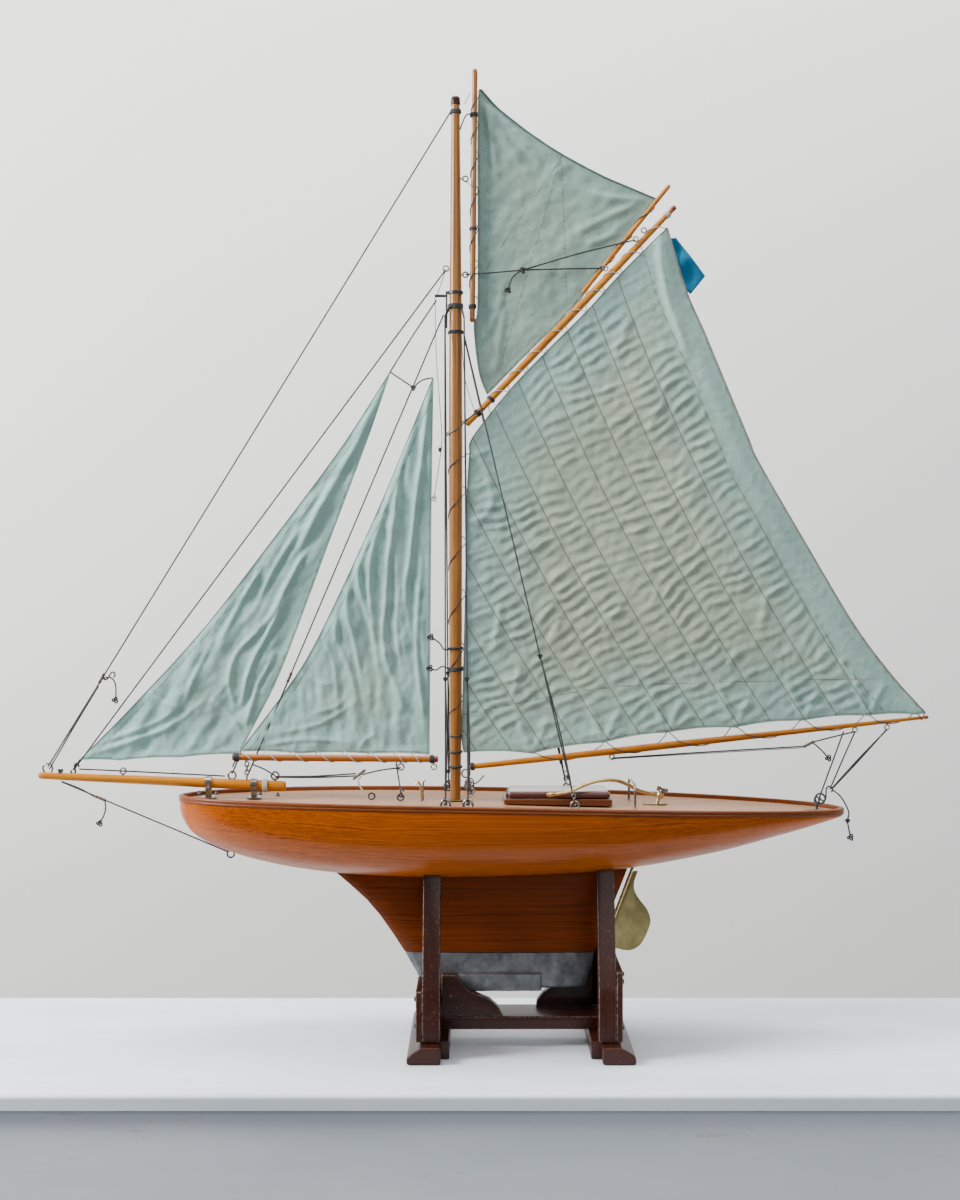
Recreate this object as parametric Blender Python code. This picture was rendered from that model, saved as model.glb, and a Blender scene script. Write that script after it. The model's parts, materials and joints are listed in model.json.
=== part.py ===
"""Antique gaff cutter pond yacht on its wooden stand, at real size.

Frame: +X aft, +Y starboard, +Z up, in metres. The origin is on the ground at the middle of the box.
"""

import math

import bmesh
import bpy
from mathutils import Matrix, Vector

# Driving dimensions of the hull, in metres
HULL_MIDDLE_X = 0.038
HULL_HALF_LENGTH = 0.451
RAIL_TOP_MID = 0.332
RAIL_SLOPE = -0.0194
RAIL_CURVE = -0.0234
RAIL_HEIGHT = 0.0085
RAIL_WIDTH = 0.005
RAIL_PROUD = 0.0012
DECK_SINK = 0.0055
BILGE_DROP = 0.0008
GAP = 0.0003
# Hull stations at even steps from bow to stern: half beam, bottom of the bilge, fullness of the section
STATIONS = (
    (0.0010, 0.3180, 2.0),
    (0.0400, 0.2815, 2.0),
    (0.0740, 0.2540, 2.1),
    (0.1000, 0.2350, 2.2),
    (0.1140, 0.2275, 2.3),
    (0.1172, 0.2290, 2.3),
    (0.1125, 0.2370, 2.3),
    (0.0960, 0.2580, 2.2),
    (0.0700, 0.2835, 2.1),
    (0.0380, 0.3015, 2.0),
    (0.0010, 0.3080, 2.0),
)
HULL_RINGS = 24
SECTION_POINTS = 14
SHELL_SCALE = (0.972, 0.935, 0.92)
# Keel and ballast
KEEL_HALF_THICKNESS = 0.0100
LEAD_TOP_Z = 0.1226
STERNPOST_TOP = (0.198, 0.237)
STERNPOST_FOOT = (0.152, LEAD_TOP_Z)
FIN_FORE_EDGE = (
    (-0.108, 0.1226), (-0.122, 0.144), (-0.141, 0.171),
    (-0.160, 0.193), (-0.182, 0.213), (-0.208, 0.235),
)
# Lead slices from its top down: height, fore end, aft end, half thickness
LEAD_LEVELS = (
    (0.1223, -0.1080, 0.1518, 0.0100),
    (0.1000, -0.0953, 0.1468, 0.0100),
    (0.0840, -0.0860, 0.1415, 0.0100),
    (0.0762, -0.0780, 0.1385, 0.0090),
    (0.0735, -0.0660, 0.1320, 0.0065),
)
TRIM_LEAD = ((-0.036, 0.079), (-0.0146, -0.0103), (0.0705, 0.0945))
# Spars: where each runs and its radii
MAST_X = -0.038
MAST_STEP_Z = 0.2354
MAST_FOOT_Z = 0.2420
MAST_TOP_Z = 1.2850
# Height and radius up the mast
MAST_RADII = (
    (0.2420, 0.0068), (0.3300, 0.0068), (0.4500, 0.0085), (0.8200, 0.0095),
    (1.0000, 0.0086), (1.0700, 0.0080), (1.2840, 0.0056), (1.2850, 0.0050),
)
# Share of the length and radius along each of the other spars
SPRIT_RADII = ((0.0, 0.0045), (0.008, 0.0066), (0.03, 0.0071), (0.38, 0.0071), (0.98, 0.0047), (1.0, 0.0030))
BOOM_RADII = ((0.0, 0.0036), (0.01, 0.0043), (0.45, 0.0051), (0.96, 0.0034), (1.0, 0.0022))
GAFF_RADII = ((0.0, 0.0040), (0.02, 0.0050), (0.4, 0.0054), (0.97, 0.0046), (1.0, 0.0034))
YARD_RADII = ((0.0, 0.0028), (0.02, 0.0039), (0.97, 0.0039), (1.0, 0.0030))
JACK_RADII = ((0.0, 0.0024), (0.03, 0.0032), (0.97, 0.0032), (1.0, 0.0025))
CLUB_RADII = ((0.0, 0.0030), (0.02, 0.0042), (0.5, 0.0046), (0.97, 0.0044), (1.0, 0.0034))
BOOM_FORE = (-0.0197, 0.3729)
BOOM_AFT = (0.605, 0.4408)
GAFF_FORE = (-0.0235, 0.8381)
GAFF_PEAK = (0.2607, 1.1353)
YARD_TOP = (-0.0116, 1.3227)
YARD_FOOT = (-0.0154, 0.9781)
JACK_TOP = (0.2531, 1.1647)
JACK_FOOT = (0.135, 1.0185)
CLUB_FORE = (-0.341, 0.3866)
CLUB_AFT = (-0.0618, 0.3839)
CLUB_Y = -0.0060
STAYSAIL_Y = -0.0012
SPRIT_TIP = (-0.605, 0.3613)
SPRIT_HEEL = (-0.269, 0.3465)
SAIL_THICKNESS = 0.001
TOPSAIL_Y = 0.0066
CORD_RADIUS = 0.0006
# Where the rigging meets the fittings
STAY_FOOT = (-0.3205, 0.0, 0.3620)
STAY_HEAD = (-0.0545, 0.0, 0.9880)
JIB_STAY_FOOT = (-0.5575, 0.0, 0.3690)
JIB_STAY_HEAD = (-0.0510, 0.0, 1.0500)
SHROUD_X = (-0.0495, -0.0203)
SHROUD_Y = 0.1065
SHROUD_LOW_Z = 0.3420
RUNNER_X = 0.1183
RUNNER_Y = 0.1035
# The dark iron bracket on the front of the mast
BRACKET_X = -0.0515
BRACKET_RING = ((1.016, 0.0093), (1.020, 0.0093), (1.020, 0.0105), (1.016, 0.0105))
# Bands that hold the bowsprit: inner and outer radius, half width, and where the two saddles stand
BAND_RADII = (0.0076, 0.0090)
BAND_HALF_WIDTH = 0.004
SADDLES = (("fore", -0.374), ("aft", -0.312))
RING_SIDES = 16
# Rudder and tiller
STOCK_FOOT = Vector((0.1620, 0.0, 0.1285))
STOCK_HEAD = Vector((0.2387, 0.0, 0.3300))
STOCK_RADIUS = 0.0022
STOCK_AXIS = (STOCK_HEAD - STOCK_FOOT).normalized()
STOCK_BEYOND = STOCK_HEAD + STOCK_AXIS * 0.03
TILLER_ANGLE = math.radians(18.5)
TUBE_FOOT_Z = 0.2490
PLATE_X = 0.238
BLADE_HALF_THICKNESS = 0.0009
# Blade, in X and Z before it turns: down the stock, round the foot and up the after edge
BLADE = (
    (0.2012, 0.2310), (0.1815, 0.1790), (0.1640, 0.1330), (0.1668, 0.1268), (0.1822, 0.1245),
    (0.1941, 0.1209), (0.2060, 0.1207), (0.2178, 0.1273), (0.2269, 0.1432), (0.2314, 0.1591),
    (0.2263, 0.1752), (0.2154, 0.1891), (0.2069, 0.2029), (0.2055, 0.2166), (0.2105, 0.2310),
)
TILLER_RADIUS = 0.0023
# Tiller, in X and Z from its boss forward
TILLER_RUN = (
    (0.2355, 0.3350), (0.2210, 0.3388), (0.2061, 0.3438), (0.1920, 0.3517), (0.1796, 0.3569),
    (0.1676, 0.3592), (0.1555, 0.3592), (0.1410, 0.3573), (0.1266, 0.3531), (0.1150, 0.3488),
    (0.1052, 0.3455), (0.0920, 0.3441), (0.0734, 0.3435),
)
TILLER_SIDES = 8
HORSE_X = 0.202
HORSE_HALF_WIDTH = 0.045
HORSE_SHOULDER_Z = 0.3475
HORSE_TOP_Z = 0.3530
HORSE_WIRE = 0.0009
# Hatch
HATCH_X = (0.0276, 0.1720)
HATCH_HALF_WIDTH = 0.0385
HATCH_WALL = 0.007
HATCH_OPENING_HALF_WIDTH = 0.031
HATCH_TOP_Z = 0.3332
COVER_X = (0.0330, 0.1686)
COVER_HALF_WIDTH = 0.0370
COVER_Z = (0.3335, 0.3438)
SIDES = (("port", -1), ("starboard", 1))
ENDS = ("fore", "aft")
# Stand
POST_FORE_X = (-0.080, -0.057)
POST_AFT_X = (0.150, 0.173)
# A post in Y and Z: upright to its bend, then leaning in under the hull, which shapes its top
POST_OUTLINE = (
    (0.0970, 0.0243), (0.0970, 0.0860), (0.0957, 0.0930), (0.0411, 0.3000),
    (0.0181, 0.3000), (0.0735, 0.0900), (0.0740, 0.0243),
)
FOOT_HALF_LENGTH = 0.118
PAD_HALF_LENGTH = 0.090
STAND_BASE_Z = 0.0243
STRETCHER_HALF_WIDTH = 0.033
STRETCHER_TOP_Z = 0.0420
BOARD_HALF_LENGTH = 0.097
BOARD_CORNER = 0.006
# The fore board has a slot in its top that the keel stands in: half width and bottom
KEEL_SLOT = (0.0125, 0.0715)
BOARD_FORE = ((-0.0886, -0.0803), 0.0910)
BOARD_AFT = ((0.1733, 0.1813), 0.1165)
GUSSET_FORE_Y = (-0.033, -0.018)
GUSSET_AFT_Y = (0.018, 0.033)
GUSSET_FORE = (
    (-0.0565, 0.0970), (-0.0565, 0.0423), (0.0260, 0.0423), (0.0200, 0.0545), (0.0080, 0.0650),
    (-0.0060, 0.0705), (-0.0190, 0.0756), (-0.0285, 0.0850), (-0.0350, 0.0970),
)
GUSSET_AFT = (
    (0.1495, 0.1000), (0.1340, 0.0980), (0.1200, 0.0900), (0.1080, 0.0790), (0.0940, 0.0700),
    (0.0815, 0.0615), (0.0735, 0.0510), (0.0720, 0.0423), (0.1495, 0.0423),
)
# Sail outlines in X and Z
MAINSAIL = (
    (-0.0260, 0.3960), (0.0660, 0.3905), (0.2470, 0.4170), (0.4350, 0.4310), (0.5980, 0.4470),
    (0.5560, 0.4980), (0.5100, 0.5640), (0.4410, 0.6720), (0.3780, 0.7830), (0.3270, 0.9020),
    (0.2750, 1.0220), (0.2490, 1.1060), (0.1830, 1.0370), (0.0850, 0.9360), (0.0070, 0.8550),
    (-0.0160, 0.8190), (-0.0215, 0.6300),
)
TOPSAIL = (
    (0.0075, 0.8830), (0.1130, 0.9900), (0.1780, 1.0700), (0.2360, 1.1470), (0.2000, 1.1620),
    (0.1600, 1.1800), (0.1050, 1.2100), (0.0600, 1.2380), (0.0280, 1.2700), (-0.0030, 1.2970),
    (-0.0070, 1.1500), (-0.0080, 1.0000),
)
PENNANT = (
    (0.2560, 1.0920), (0.2630, 1.0930), (0.3030, 1.0420),
    (0.2820, 1.0160), (0.2730, 1.0240), (0.2650, 0.9920),
)
PENNANT_Y = (0.0030, 0.0040)
STAYSAIL = (
    (-0.3290, 0.3960), (-0.0740, 0.3930), (-0.0730, 0.6400), (-0.0715, 0.8950),
    (-0.1340, 0.7370), (-0.1900, 0.6120), (-0.2300, 0.5280), (-0.2640, 0.4790),
)
JIB = (
    (-0.5380, 0.3850), (-0.3310, 0.3920), (-0.2830, 0.4900), (-0.2480, 0.5780), (-0.2100, 0.6820),
    (-0.1560, 0.8250), (-0.1290, 0.9050), (-0.1870, 0.8170), (-0.2840, 0.6910), (-0.3780, 0.5700),
    (-0.4770, 0.4500),
)


def clear_scene():
    for obj in list(bpy.data.objects):
        bpy.data.objects.remove(obj, do_unlink=True)


def material(name, color, roughness=0.5, metallic=0.0):
    made = bpy.data.materials.get(name)
    if made:
        return made
    made = bpy.data.materials.new(name)
    made.use_nodes = True
    shader = made.node_tree.nodes["Principled BSDF"]
    shader.inputs["Base Color"].default_value = (*color, 1.0)
    shader.inputs["Roughness"].default_value = roughness
    shader.inputs["Metallic"].default_value = metallic
    return made


VARNISHED_HULL = ("varnished_hull", (0.45, 0.13, 0.025), 0.25)
RED_WOOD = ("red_wood", (0.19, 0.045, 0.02), 0.35)
DECK_WOOD = ("deck_wood", (0.50, 0.38, 0.33), 0.6)
PINE = ("pine_spar", (0.60, 0.27, 0.05), 0.35)
STAND_WOOD = ("stand_wood", (0.07, 0.016, 0.012), 0.4)
LEAD = ("lead", (0.23, 0.24, 0.27), 0.5, 0.6)
BRASS = ("brass", (0.45, 0.33, 0.13), 0.35, 1.0)
NICKEL = ("nickel", (0.42, 0.41, 0.38), 0.35, 1.0)
IRON = ("dark_iron", (0.05, 0.06, 0.07), 0.5, 0.8)
MAINSAIL_CLOTH = ("mainsail_cloth", (0.40, 0.52, 0.46), 0.9)
HEADSAIL_CLOTH = ("headsail_cloth", (0.40, 0.60, 0.56), 0.9)
PENNANT_CLOTH = ("pennant_cloth", (0.02, 0.22, 0.42), 0.9)
RIGGING = ("rigging_cord", (0.20, 0.21, 0.21), 0.9)


def link(name, data, look, parent=None):
    obj = bpy.data.objects.new(name, data)
    bpy.context.scene.collection.objects.link(obj)
    data.materials.append(material(*look))
    if parent:
        obj.parent = parent
        obj.matrix_parent_inverse = parent.matrix_world.inverted()
    return obj


def pivot(name, place, axis=(0.0, 0.0, 1.0), parent=None):
    """An empty on a joint's axis, which the moving piece hangs from."""
    obj = bpy.data.objects.new(name, None)
    bpy.context.scene.collection.objects.link(obj)
    obj.location = place
    obj.rotation_euler = Vector(axis).to_track_quat("Z", "Y").to_euler()
    bpy.context.view_layer.update()
    if parent:
        world = obj.matrix_world.copy()
        obj.parent = parent
        obj.matrix_world = world
        bpy.context.view_layer.update()
    return obj


def mesh_from(name, bm, look, parent=None, smooth=True):
    bmesh.ops.remove_doubles(bm, verts=bm.verts, dist=1e-6)
    bmesh.ops.recalc_face_normals(bm, faces=bm.faces)
    mesh = bpy.data.meshes.new(name)
    bm.to_mesh(mesh)
    bm.free()
    if smooth:
        mesh.shade_smooth()
        mesh.set_sharp_from_angle(angle=math.radians(35))
    return link(name, mesh, look, parent)


def loft(bm, rings, close_ends=True):
    """Joins rings of the same number of points with quads, and caps both ends."""
    made = [[bm.verts.new(point) for point in ring] for ring in rings]
    for first, second in zip(made, made[1:]):
        for i in range(len(first)):
            j = (i + 1) % len(first)
            bm.faces.new((first[i], first[j], second[j], second[i]))
    if close_ends:
        bm.faces.new(made[0])
        bm.faces.new(made[-1])
    return made


def box(name, x, y, z, look, parent=None, bevel=0.0):
    bm = bmesh.new()
    bmesh.ops.create_cube(bm, size=1.0)
    for vert in bm.verts:
        vert.co.x = x[0] if vert.co.x < 0 else x[1]
        vert.co.y = y[0] if vert.co.y < 0 else y[1]
        vert.co.z = z[0] if vert.co.z < 0 else z[1]
    obj = mesh_from(name, bm, look, parent, smooth=False)
    if bevel:
        modifier = obj.modifiers.new("edges", "BEVEL")
        modifier.width = bevel
        modifier.segments = 1
    return obj


def plate(name, outline, y, look, parent=None):
    """An outline in X and Z, extruded across the boat from y[0] to y[1]."""
    bm = bmesh.new()
    loft(bm, [[(x, side, z) for x, z in outline] for side in y])
    return mesh_from(name, bm, look, parent, smooth=False)


def plank(name, outline, x, look, parent=None):
    """An outline in Y and Z, extruded along the boat from x[0] to x[1]."""
    bm = bmesh.new()
    loft(bm, [[(end, y, z) for y, z in outline] for end in x])
    return mesh_from(name, bm, look, parent, smooth=False)


def closed_ring(name, sections, look, parent=None):
    """Sections of the same number of points, joined all round into a closed loop."""
    bm = bmesh.new()
    made = [[bm.verts.new(point) for point in section] for section in sections]
    for first, second in zip(made, made[1:] + made[:1]):
        for i in range(len(first)):
            j = (i + 1) % len(first)
            bm.faces.new((first[i], first[j], second[j], second[i]))
    return mesh_from(name, bm, look, parent)


def circle(count):
    """Cosine and sine of even steps round a circle."""
    angles = [2 * math.pi * i / count for i in range(count)]
    return [(math.cos(a), math.sin(a)) for a in angles]


def spar(name, start, end, radii, look, parent=None, sides=12, y=0.0):
    """A tapered round spar in the centre plane: radii are (share of length, radius)."""
    bm = bmesh.new()
    a = Vector((start[0], y, start[1]))
    b = Vector((end[0], y, end[1]))
    along = (b - a).normalized()
    side = Vector((0.0, 1.0, 0.0))
    up = along.cross(side)
    rings = []
    for share, radius in radii:
        centre = a.lerp(b, share)
        rings.append([centre + radius * (c * side + s * up) for c, s in circle(sides)])
    loft(bm, rings)
    return mesh_from(name, bm, look, parent)


def tube(name, points, radius, look, parent=None, resolution=2):
    """A cord or wire of one open run, with closed ends."""
    curve = bpy.data.curves.new(name, "CURVE")
    curve.dimensions = "3D"
    curve.bevel_depth = radius
    curve.bevel_resolution = resolution
    curve.use_fill_caps = True
    run = curve.splines.new("POLY")
    run.points.add(len(points) - 1)
    for spot, point in zip(run.points, points):
        spot.co = (*point, 1.0)
    return link(name, curve, look, parent)


def eye(name, foot, ring_z, ring_radius, wire, look, parent=None):
    """A screw eye: a shank that stands on the deck, and a ring bent from the same wire."""
    x, y, z = foot
    points = [(x, y, z), (x, y, ring_z - ring_radius)]
    turns = 10
    for i in range(1, turns + 1):
        angle = -math.pi / 2 + math.radians(318) * i / turns
        points.append((x + ring_radius * math.cos(angle), y, ring_z + ring_radius * math.sin(angle)))
    return tube(name, points, wire, look, parent, resolution=1)


def boolean(obj, other, operation):
    modifier = obj.modifiers.new(other.name, "BOOLEAN")
    modifier.operation = operation
    modifier.object = other
    other.hide_render = True
    other.display_type = "WIRE"


def rod(name, start, end, radius, look=NICKEL, parent=None, sides=16):
    """A straight round rod between two points, also used as a cutter."""
    bm = bmesh.new()
    a = Vector(start)
    along = Vector(end) - a
    bmesh.ops.create_cone(
        bm, cap_ends=True, segments=sides, radius1=radius, radius2=radius, depth=along.length
    )
    turn = along.to_track_quat("Z", "Y").to_matrix().to_4x4()
    bmesh.ops.transform(bm, matrix=turn, verts=bm.verts)
    bmesh.ops.translate(bm, vec=a + along / 2, verts=bm.verts)
    return mesh_from(name, bm, look, parent)


def rail_top(x):
    u = x - HULL_MIDDLE_X
    return RAIL_TOP_MID + RAIL_SLOPE * u + RAIL_CURVE * u * u


def deck_top(x):
    return rail_top(x) - DECK_SINK


def rim(x):
    """The top of the hull's wall, which the deck and the rail stand on."""
    return rail_top(x) - RAIL_HEIGHT


def station(t):
    """Half beam, bilge and fullness at t, from 0 at the bow to 1 at the stern, by smooth interpolation."""
    place = min(max(t, 0.0), 1.0) * (len(STATIONS) - 1)
    i = min(int(place), len(STATIONS) - 2)
    u = place - i
    rows = [STATIONS[min(max(j, 0), len(STATIONS) - 1)] for j in (i - 1, i, i + 1, i + 2)]
    values = []
    for p0, p1, p2, p3 in zip(*rows):
        cubic = 3 * (p1 - p2) + p3 - p0
        square = 2 * p0 - 5 * p1 + 4 * p2 - p3
        values.append(p1 + 0.5 * u * (p2 - p0 + u * (square + u * cubic)))
    return values


def hull_x(t):
    return HULL_MIDDLE_X - HULL_HALF_LENGTH * math.cos(math.pi * t)


def hull_section(t):
    """The section at t, from the port rim under the keel to the starboard rim."""
    beam, bilge, fullness = station(t)
    beam = max(beam, 0.001)
    x = hull_x(t)
    top = rim(x)
    depth = top - bilge + BILGE_DROP * (beam / STATIONS[5][0]) ** 2
    points = []
    for i in range(2 * SECTION_POINTS + 1):
        angle = math.pi * i / (2 * SECTION_POINTS)
        across = math.cos(angle)
        y = math.copysign(abs(across) ** (2 / fullness), across) * beam
        points.append((x, -y, top - depth * max(math.sin(angle), 0.0) ** (2 / fullness)))
    return points


def shrink(point):
    """The same point on the inner wall."""
    x, y, z = point
    top = rim(x)
    return (
        HULL_MIDDLE_X + (x - HULL_MIDDLE_X) * SHELL_SCALE[0],
        y * SHELL_SCALE[1],
        top + (z - top) * SHELL_SCALE[2],
    )


def hull_rings():
    return [hull_section(i / HULL_RINGS) for i in range(HULL_RINGS + 1)]


def outline(inset, steps=26):
    """The hull's outline in plan, moved in by inset, port side first from bow to stern."""
    side = [(hull_x(i / steps), max(station(i / steps)[0], 0.001)) for i in range(steps + 1)]
    points = []
    for i, (x, y) in enumerate(side):
        before = side[max(i - 1, 0)]
        after = side[min(i + 1, steps)]
        run = Vector((after[0] - before[0], after[1] - before[1]))
        if i == 0:
            run = Vector((0.0, 1.0))
        if i == steps:
            run = Vector((0.0, -1.0))
        run.normalize()
        points.append((x + inset * run.y, max(y - inset * run.x, 0.0006)))
    return [(x, -y) for x, y in points] + [(x, y) for x, y in reversed(points)]


def make_hull(yacht):
    bm = bmesh.new()
    outer = [[bm.verts.new(p) for p in ring] for ring in hull_rings()]
    inner = [[bm.verts.new(shrink(p)) for p in ring] for ring in hull_rings()]
    for wall in (outer, inner):
        for first, second in zip(wall, wall[1:]):
            for i in range(len(first) - 1):
                bm.faces.new((first[i], first[i + 1], second[i + 1], second[i]))
        bm.faces.new(wall[0])
        bm.faces.new(wall[-1])
    for side in (0, -1):
        for i in range(HULL_RINGS):
            bm.faces.new((outer[i][side], outer[i + 1][side], inner[i + 1][side], inner[i][side]))
    for end in (0, -1):
        bm.faces.new((outer[end][0], inner[end][0], inner[end][-1], outer[end][-1]))
    hull = mesh_from("hull_shell", bm, VARNISHED_HULL, yacht)
    boolean(hull, rod("stock_hole_hull", STOCK_FOOT, STOCK_BEYOND, 0.0045), "DIFFERENCE")
    return hull


def hull_cutter():
    """The hull's outer body a gap larger, which shapes what fits under it."""
    bm = bmesh.new()
    rings = []
    for ring in hull_rings():
        rings.append([(x, y, z - 2 * GAP if z < rim(x) - 0.001 else z + 0.02) for x, y, z in ring])
    loft(bm, rings)
    cutter = mesh_from("hull_cutter", bm, VARNISHED_HULL)
    cutter.hide_render = True
    cutter.display_type = "WIRE"
    return cutter


def make_deck(yacht):
    bm = bmesh.new()
    edge = outline(RAIL_WIDTH + GAP)
    loft(bm, [[(x, y, rim(x) + GAP) for x, y in edge], [(x, y, deck_top(x)) for x, y in edge]])
    deck = mesh_from("deck", bm, DECK_WOOD, yacht, smooth=False)
    z = (0.29, 0.36)
    x = (HATCH_X[0] + HATCH_WALL, HATCH_X[1] - HATCH_WALL)
    hole = box("hatch_hole", x, (-HATCH_OPENING_HALF_WIDTH, HATCH_OPENING_HALF_WIDTH), z, NICKEL)
    boolean(deck, hole, "DIFFERENCE")
    boolean(deck, rod("mast_hole", (MAST_X, 0, z[0]), (MAST_X, 0, z[1]), 0.0073), "DIFFERENCE")
    boolean(deck, rod("stock_hole_deck", STOCK_FOOT, STOCK_BEYOND, 0.0031), "DIFFERENCE")
    return deck


def make_rail(yacht):
    outer = outline(-RAIL_PROUD)
    inner = outline(RAIL_WIDTH)
    corners = []
    for (ox, oy), (ix, iy) in zip(outer, inner):
        corners.append([
            (ox, oy, rim(ox) + GAP),
            (ox, oy, rail_top(ox)),
            (ix, iy, rail_top(ix)),
            (ix, iy, rim(ix) + GAP),
        ])
    return closed_ring("toe_rail", corners, RED_WOOD, yacht)


def keel_ring(z, fore, aft, half=KEEL_HALF_THICKNESS, count=20):
    """A level slice of the keel: flat sides and rounded fore and aft edges."""
    points = []
    for i in range(count):
        angle = 2 * math.pi * (i + 0.5) / count
        across = math.sin(angle)
        along = math.cos(angle)
        x = (fore + aft) / 2 + math.copysign(abs(along) ** 0.6, along) * (aft - fore) / 2
        points.append((x, math.copysign(abs(across) ** 0.6, across) * half, z))
    return points


def sternpost_x(z):
    share = (z - STERNPOST_FOOT[1]) / (STERNPOST_TOP[1] - STERNPOST_FOOT[1])
    return STERNPOST_FOOT[0] + share * (STERNPOST_TOP[0] - STERNPOST_FOOT[0])


def make_keel(yacht, cutter):
    bm = bmesh.new()
    loft(bm, [keel_ring(z, x, sternpost_x(z)) for x, z in FIN_FORE_EDGE])
    fin = mesh_from("keel_fin", bm, RED_WOOD, yacht)
    boolean(fin, cutter, "DIFFERENCE")
    bm = bmesh.new()
    loft(bm, [keel_ring(*level) for level in reversed(LEAD_LEVELS)])
    mesh_from("ballast_lead", bm, LEAD, yacht)
    trim = box("trim_lead", *TRIM_LEAD, LEAD, yacht)
    round_off = trim.modifiers.new("corners", "BEVEL")
    round_off.width = 0.0018
    round_off.segments = 2


def make_hatch_coaming(yacht):
    inner_x = (HATCH_X[0] + HATCH_WALL, HATCH_X[1] - HATCH_WALL)
    corners = []
    for (x0, x1), y in ((HATCH_X, HATCH_HALF_WIDTH), (inner_x, HATCH_OPENING_HALF_WIDTH)):
        corners.append([(x0, -y), (x1, -y), (x1, y), (x0, y)])
    sections = []
    for outer, inner in zip(*corners):
        sections.append([
            (*outer, deck_top(outer[0]) + GAP),
            (*outer, HATCH_TOP_Z),
            (*inner, HATCH_TOP_Z),
            (*inner, deck_top(inner[0]) + GAP),
        ])
    closed_ring("hatch_coaming", sections, PINE, yacht)


def make_head_plate(yacht):
    """The oval plate under the tiller, with the stock's hole."""
    bm = bmesh.new()
    low = deck_top(PLATE_X)
    centre = stock_point(low).x - 0.002
    rings = []
    for z in (low + 2 * GAP, low + 0.0018):
        rings.append([(centre + 0.017 * c, 0.010 * s, z) for c, s in circle(20)])
    loft(bm, rings)
    head = mesh_from("rudder_head_plate", bm, BRASS, yacht)
    boolean(head, rod("stock_hole_plate", STOCK_FOOT, STOCK_BEYOND, 0.0031), "DIFFERENCE")


def make_tiller_horse(yacht):
    """The wire hoop across the deck that the tiller passes over."""
    foot_z = deck_top(HORSE_X) + GAP + HORSE_WIRE
    half = HORSE_HALF_WIDTH
    run = ((-half, foot_z), (-half, HORSE_SHOULDER_Z), (-half + 0.006, HORSE_TOP_Z))
    run += tuple((-y, z) for y, z in reversed(run))
    tube("tiller_horse", [(HORSE_X, y, z) for y, z in run], HORSE_WIRE, NICKEL, yacht)


def make_eyes(yacht):
    eye("stern_eye", (0.4535, 0.0, deck_top(0.437) + 0.0018), 0.3270, 0.0052, 0.0011, IRON, yacht)
    for side, sign in SIDES:
        for end, x in zip(ENDS, SHROUD_X):
            foot = (x, sign * SHROUD_Y, deck_top(x) + 2 * GAP)
            eye(f"chainplate_{end}_{side}", foot, 0.3352, 0.0054, 0.0010, NICKEL, yacht)
        foot = (RUNNER_X, sign * RUNNER_Y, deck_top(RUNNER_X) + 2 * GAP)
        eye(f"runner_eye_{side}", foot, 0.3335, 0.0044, 0.0009, NICKEL, yacht)


def sprit_z(x):
    share = (x - SPRIT_HEEL[0]) / (SPRIT_TIP[0] - SPRIT_HEEL[0])
    return SPRIT_HEEL[1] + share * (SPRIT_TIP[1] - SPRIT_HEEL[1])


def make_bowsprit(yacht):
    spar("bowsprit", SPRIT_HEEL, SPRIT_TIP, SPRIT_RADII, PINE, yacht)
    inner, outer = BAND_RADII
    half = BAND_HALF_WIDTH
    profile = ((-half, inner), (half, inner), (half, outer), (-half, outer))
    for name, x in SADDLES:
        top = sprit_z(x)
        z = deck_top(x)
        foot = ((x - 0.009, x + 0.009), (-0.013, 0.013), (z + 2 * GAP, z + 0.0022))
        saddle = box(f"bowsprit_saddle_{name}", *foot, NICKEL, yacht)
        web = box(f"web_{name}", (x - half, x + half), (-0.0035, 0.0035), (z + 0.001, top - 0.0078), NICKEL)
        sections = [[(x + dx, r * c, top + r * s) for dx, r in profile] for c, s in circle(RING_SIDES)]
        boolean(saddle, web, "UNION")
        boolean(saddle, closed_ring(f"band_{name}", sections, NICKEL), "UNION")


def make_mast(yacht):
    length = MAST_TOP_Z - MAST_FOOT_Z
    radii = [((z - MAST_FOOT_Z) / length, r) for z, r in MAST_RADII]
    spar("mast", (MAST_X, MAST_FOOT_Z), (MAST_X, MAST_TOP_Z), radii, PINE, yacht)
    step_z = (MAST_STEP_Z, MAST_FOOT_Z - GAP)
    box("mast_step", (MAST_X - 0.014, MAST_X + 0.014), (-0.012, 0.012), step_z, RED_WOOD, yacht)
    x = BRACKET_X
    bracket = box("mast_bracket", (x, x + 0.0025), (-0.003, 0.003), (0.970, 1.020), IRON, yacht)
    arm = box("bracket_arm", (-0.066, x + 0.001), (-0.002, 0.002), (1.012, 1.0155), IRON)
    neck = box("band_neck", (x + 0.001, -0.0478), (-0.002, 0.002), (1.0165, 1.0195), IRON)
    sections = [[(MAST_X + r * c, r * s, z) for z, r in BRACKET_RING] for c, s in circle(RING_SIDES)]
    boolean(bracket, arm, "UNION")
    boolean(bracket, neck, "UNION")
    boolean(bracket, closed_ring("bracket_band", sections, IRON), "UNION")


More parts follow.
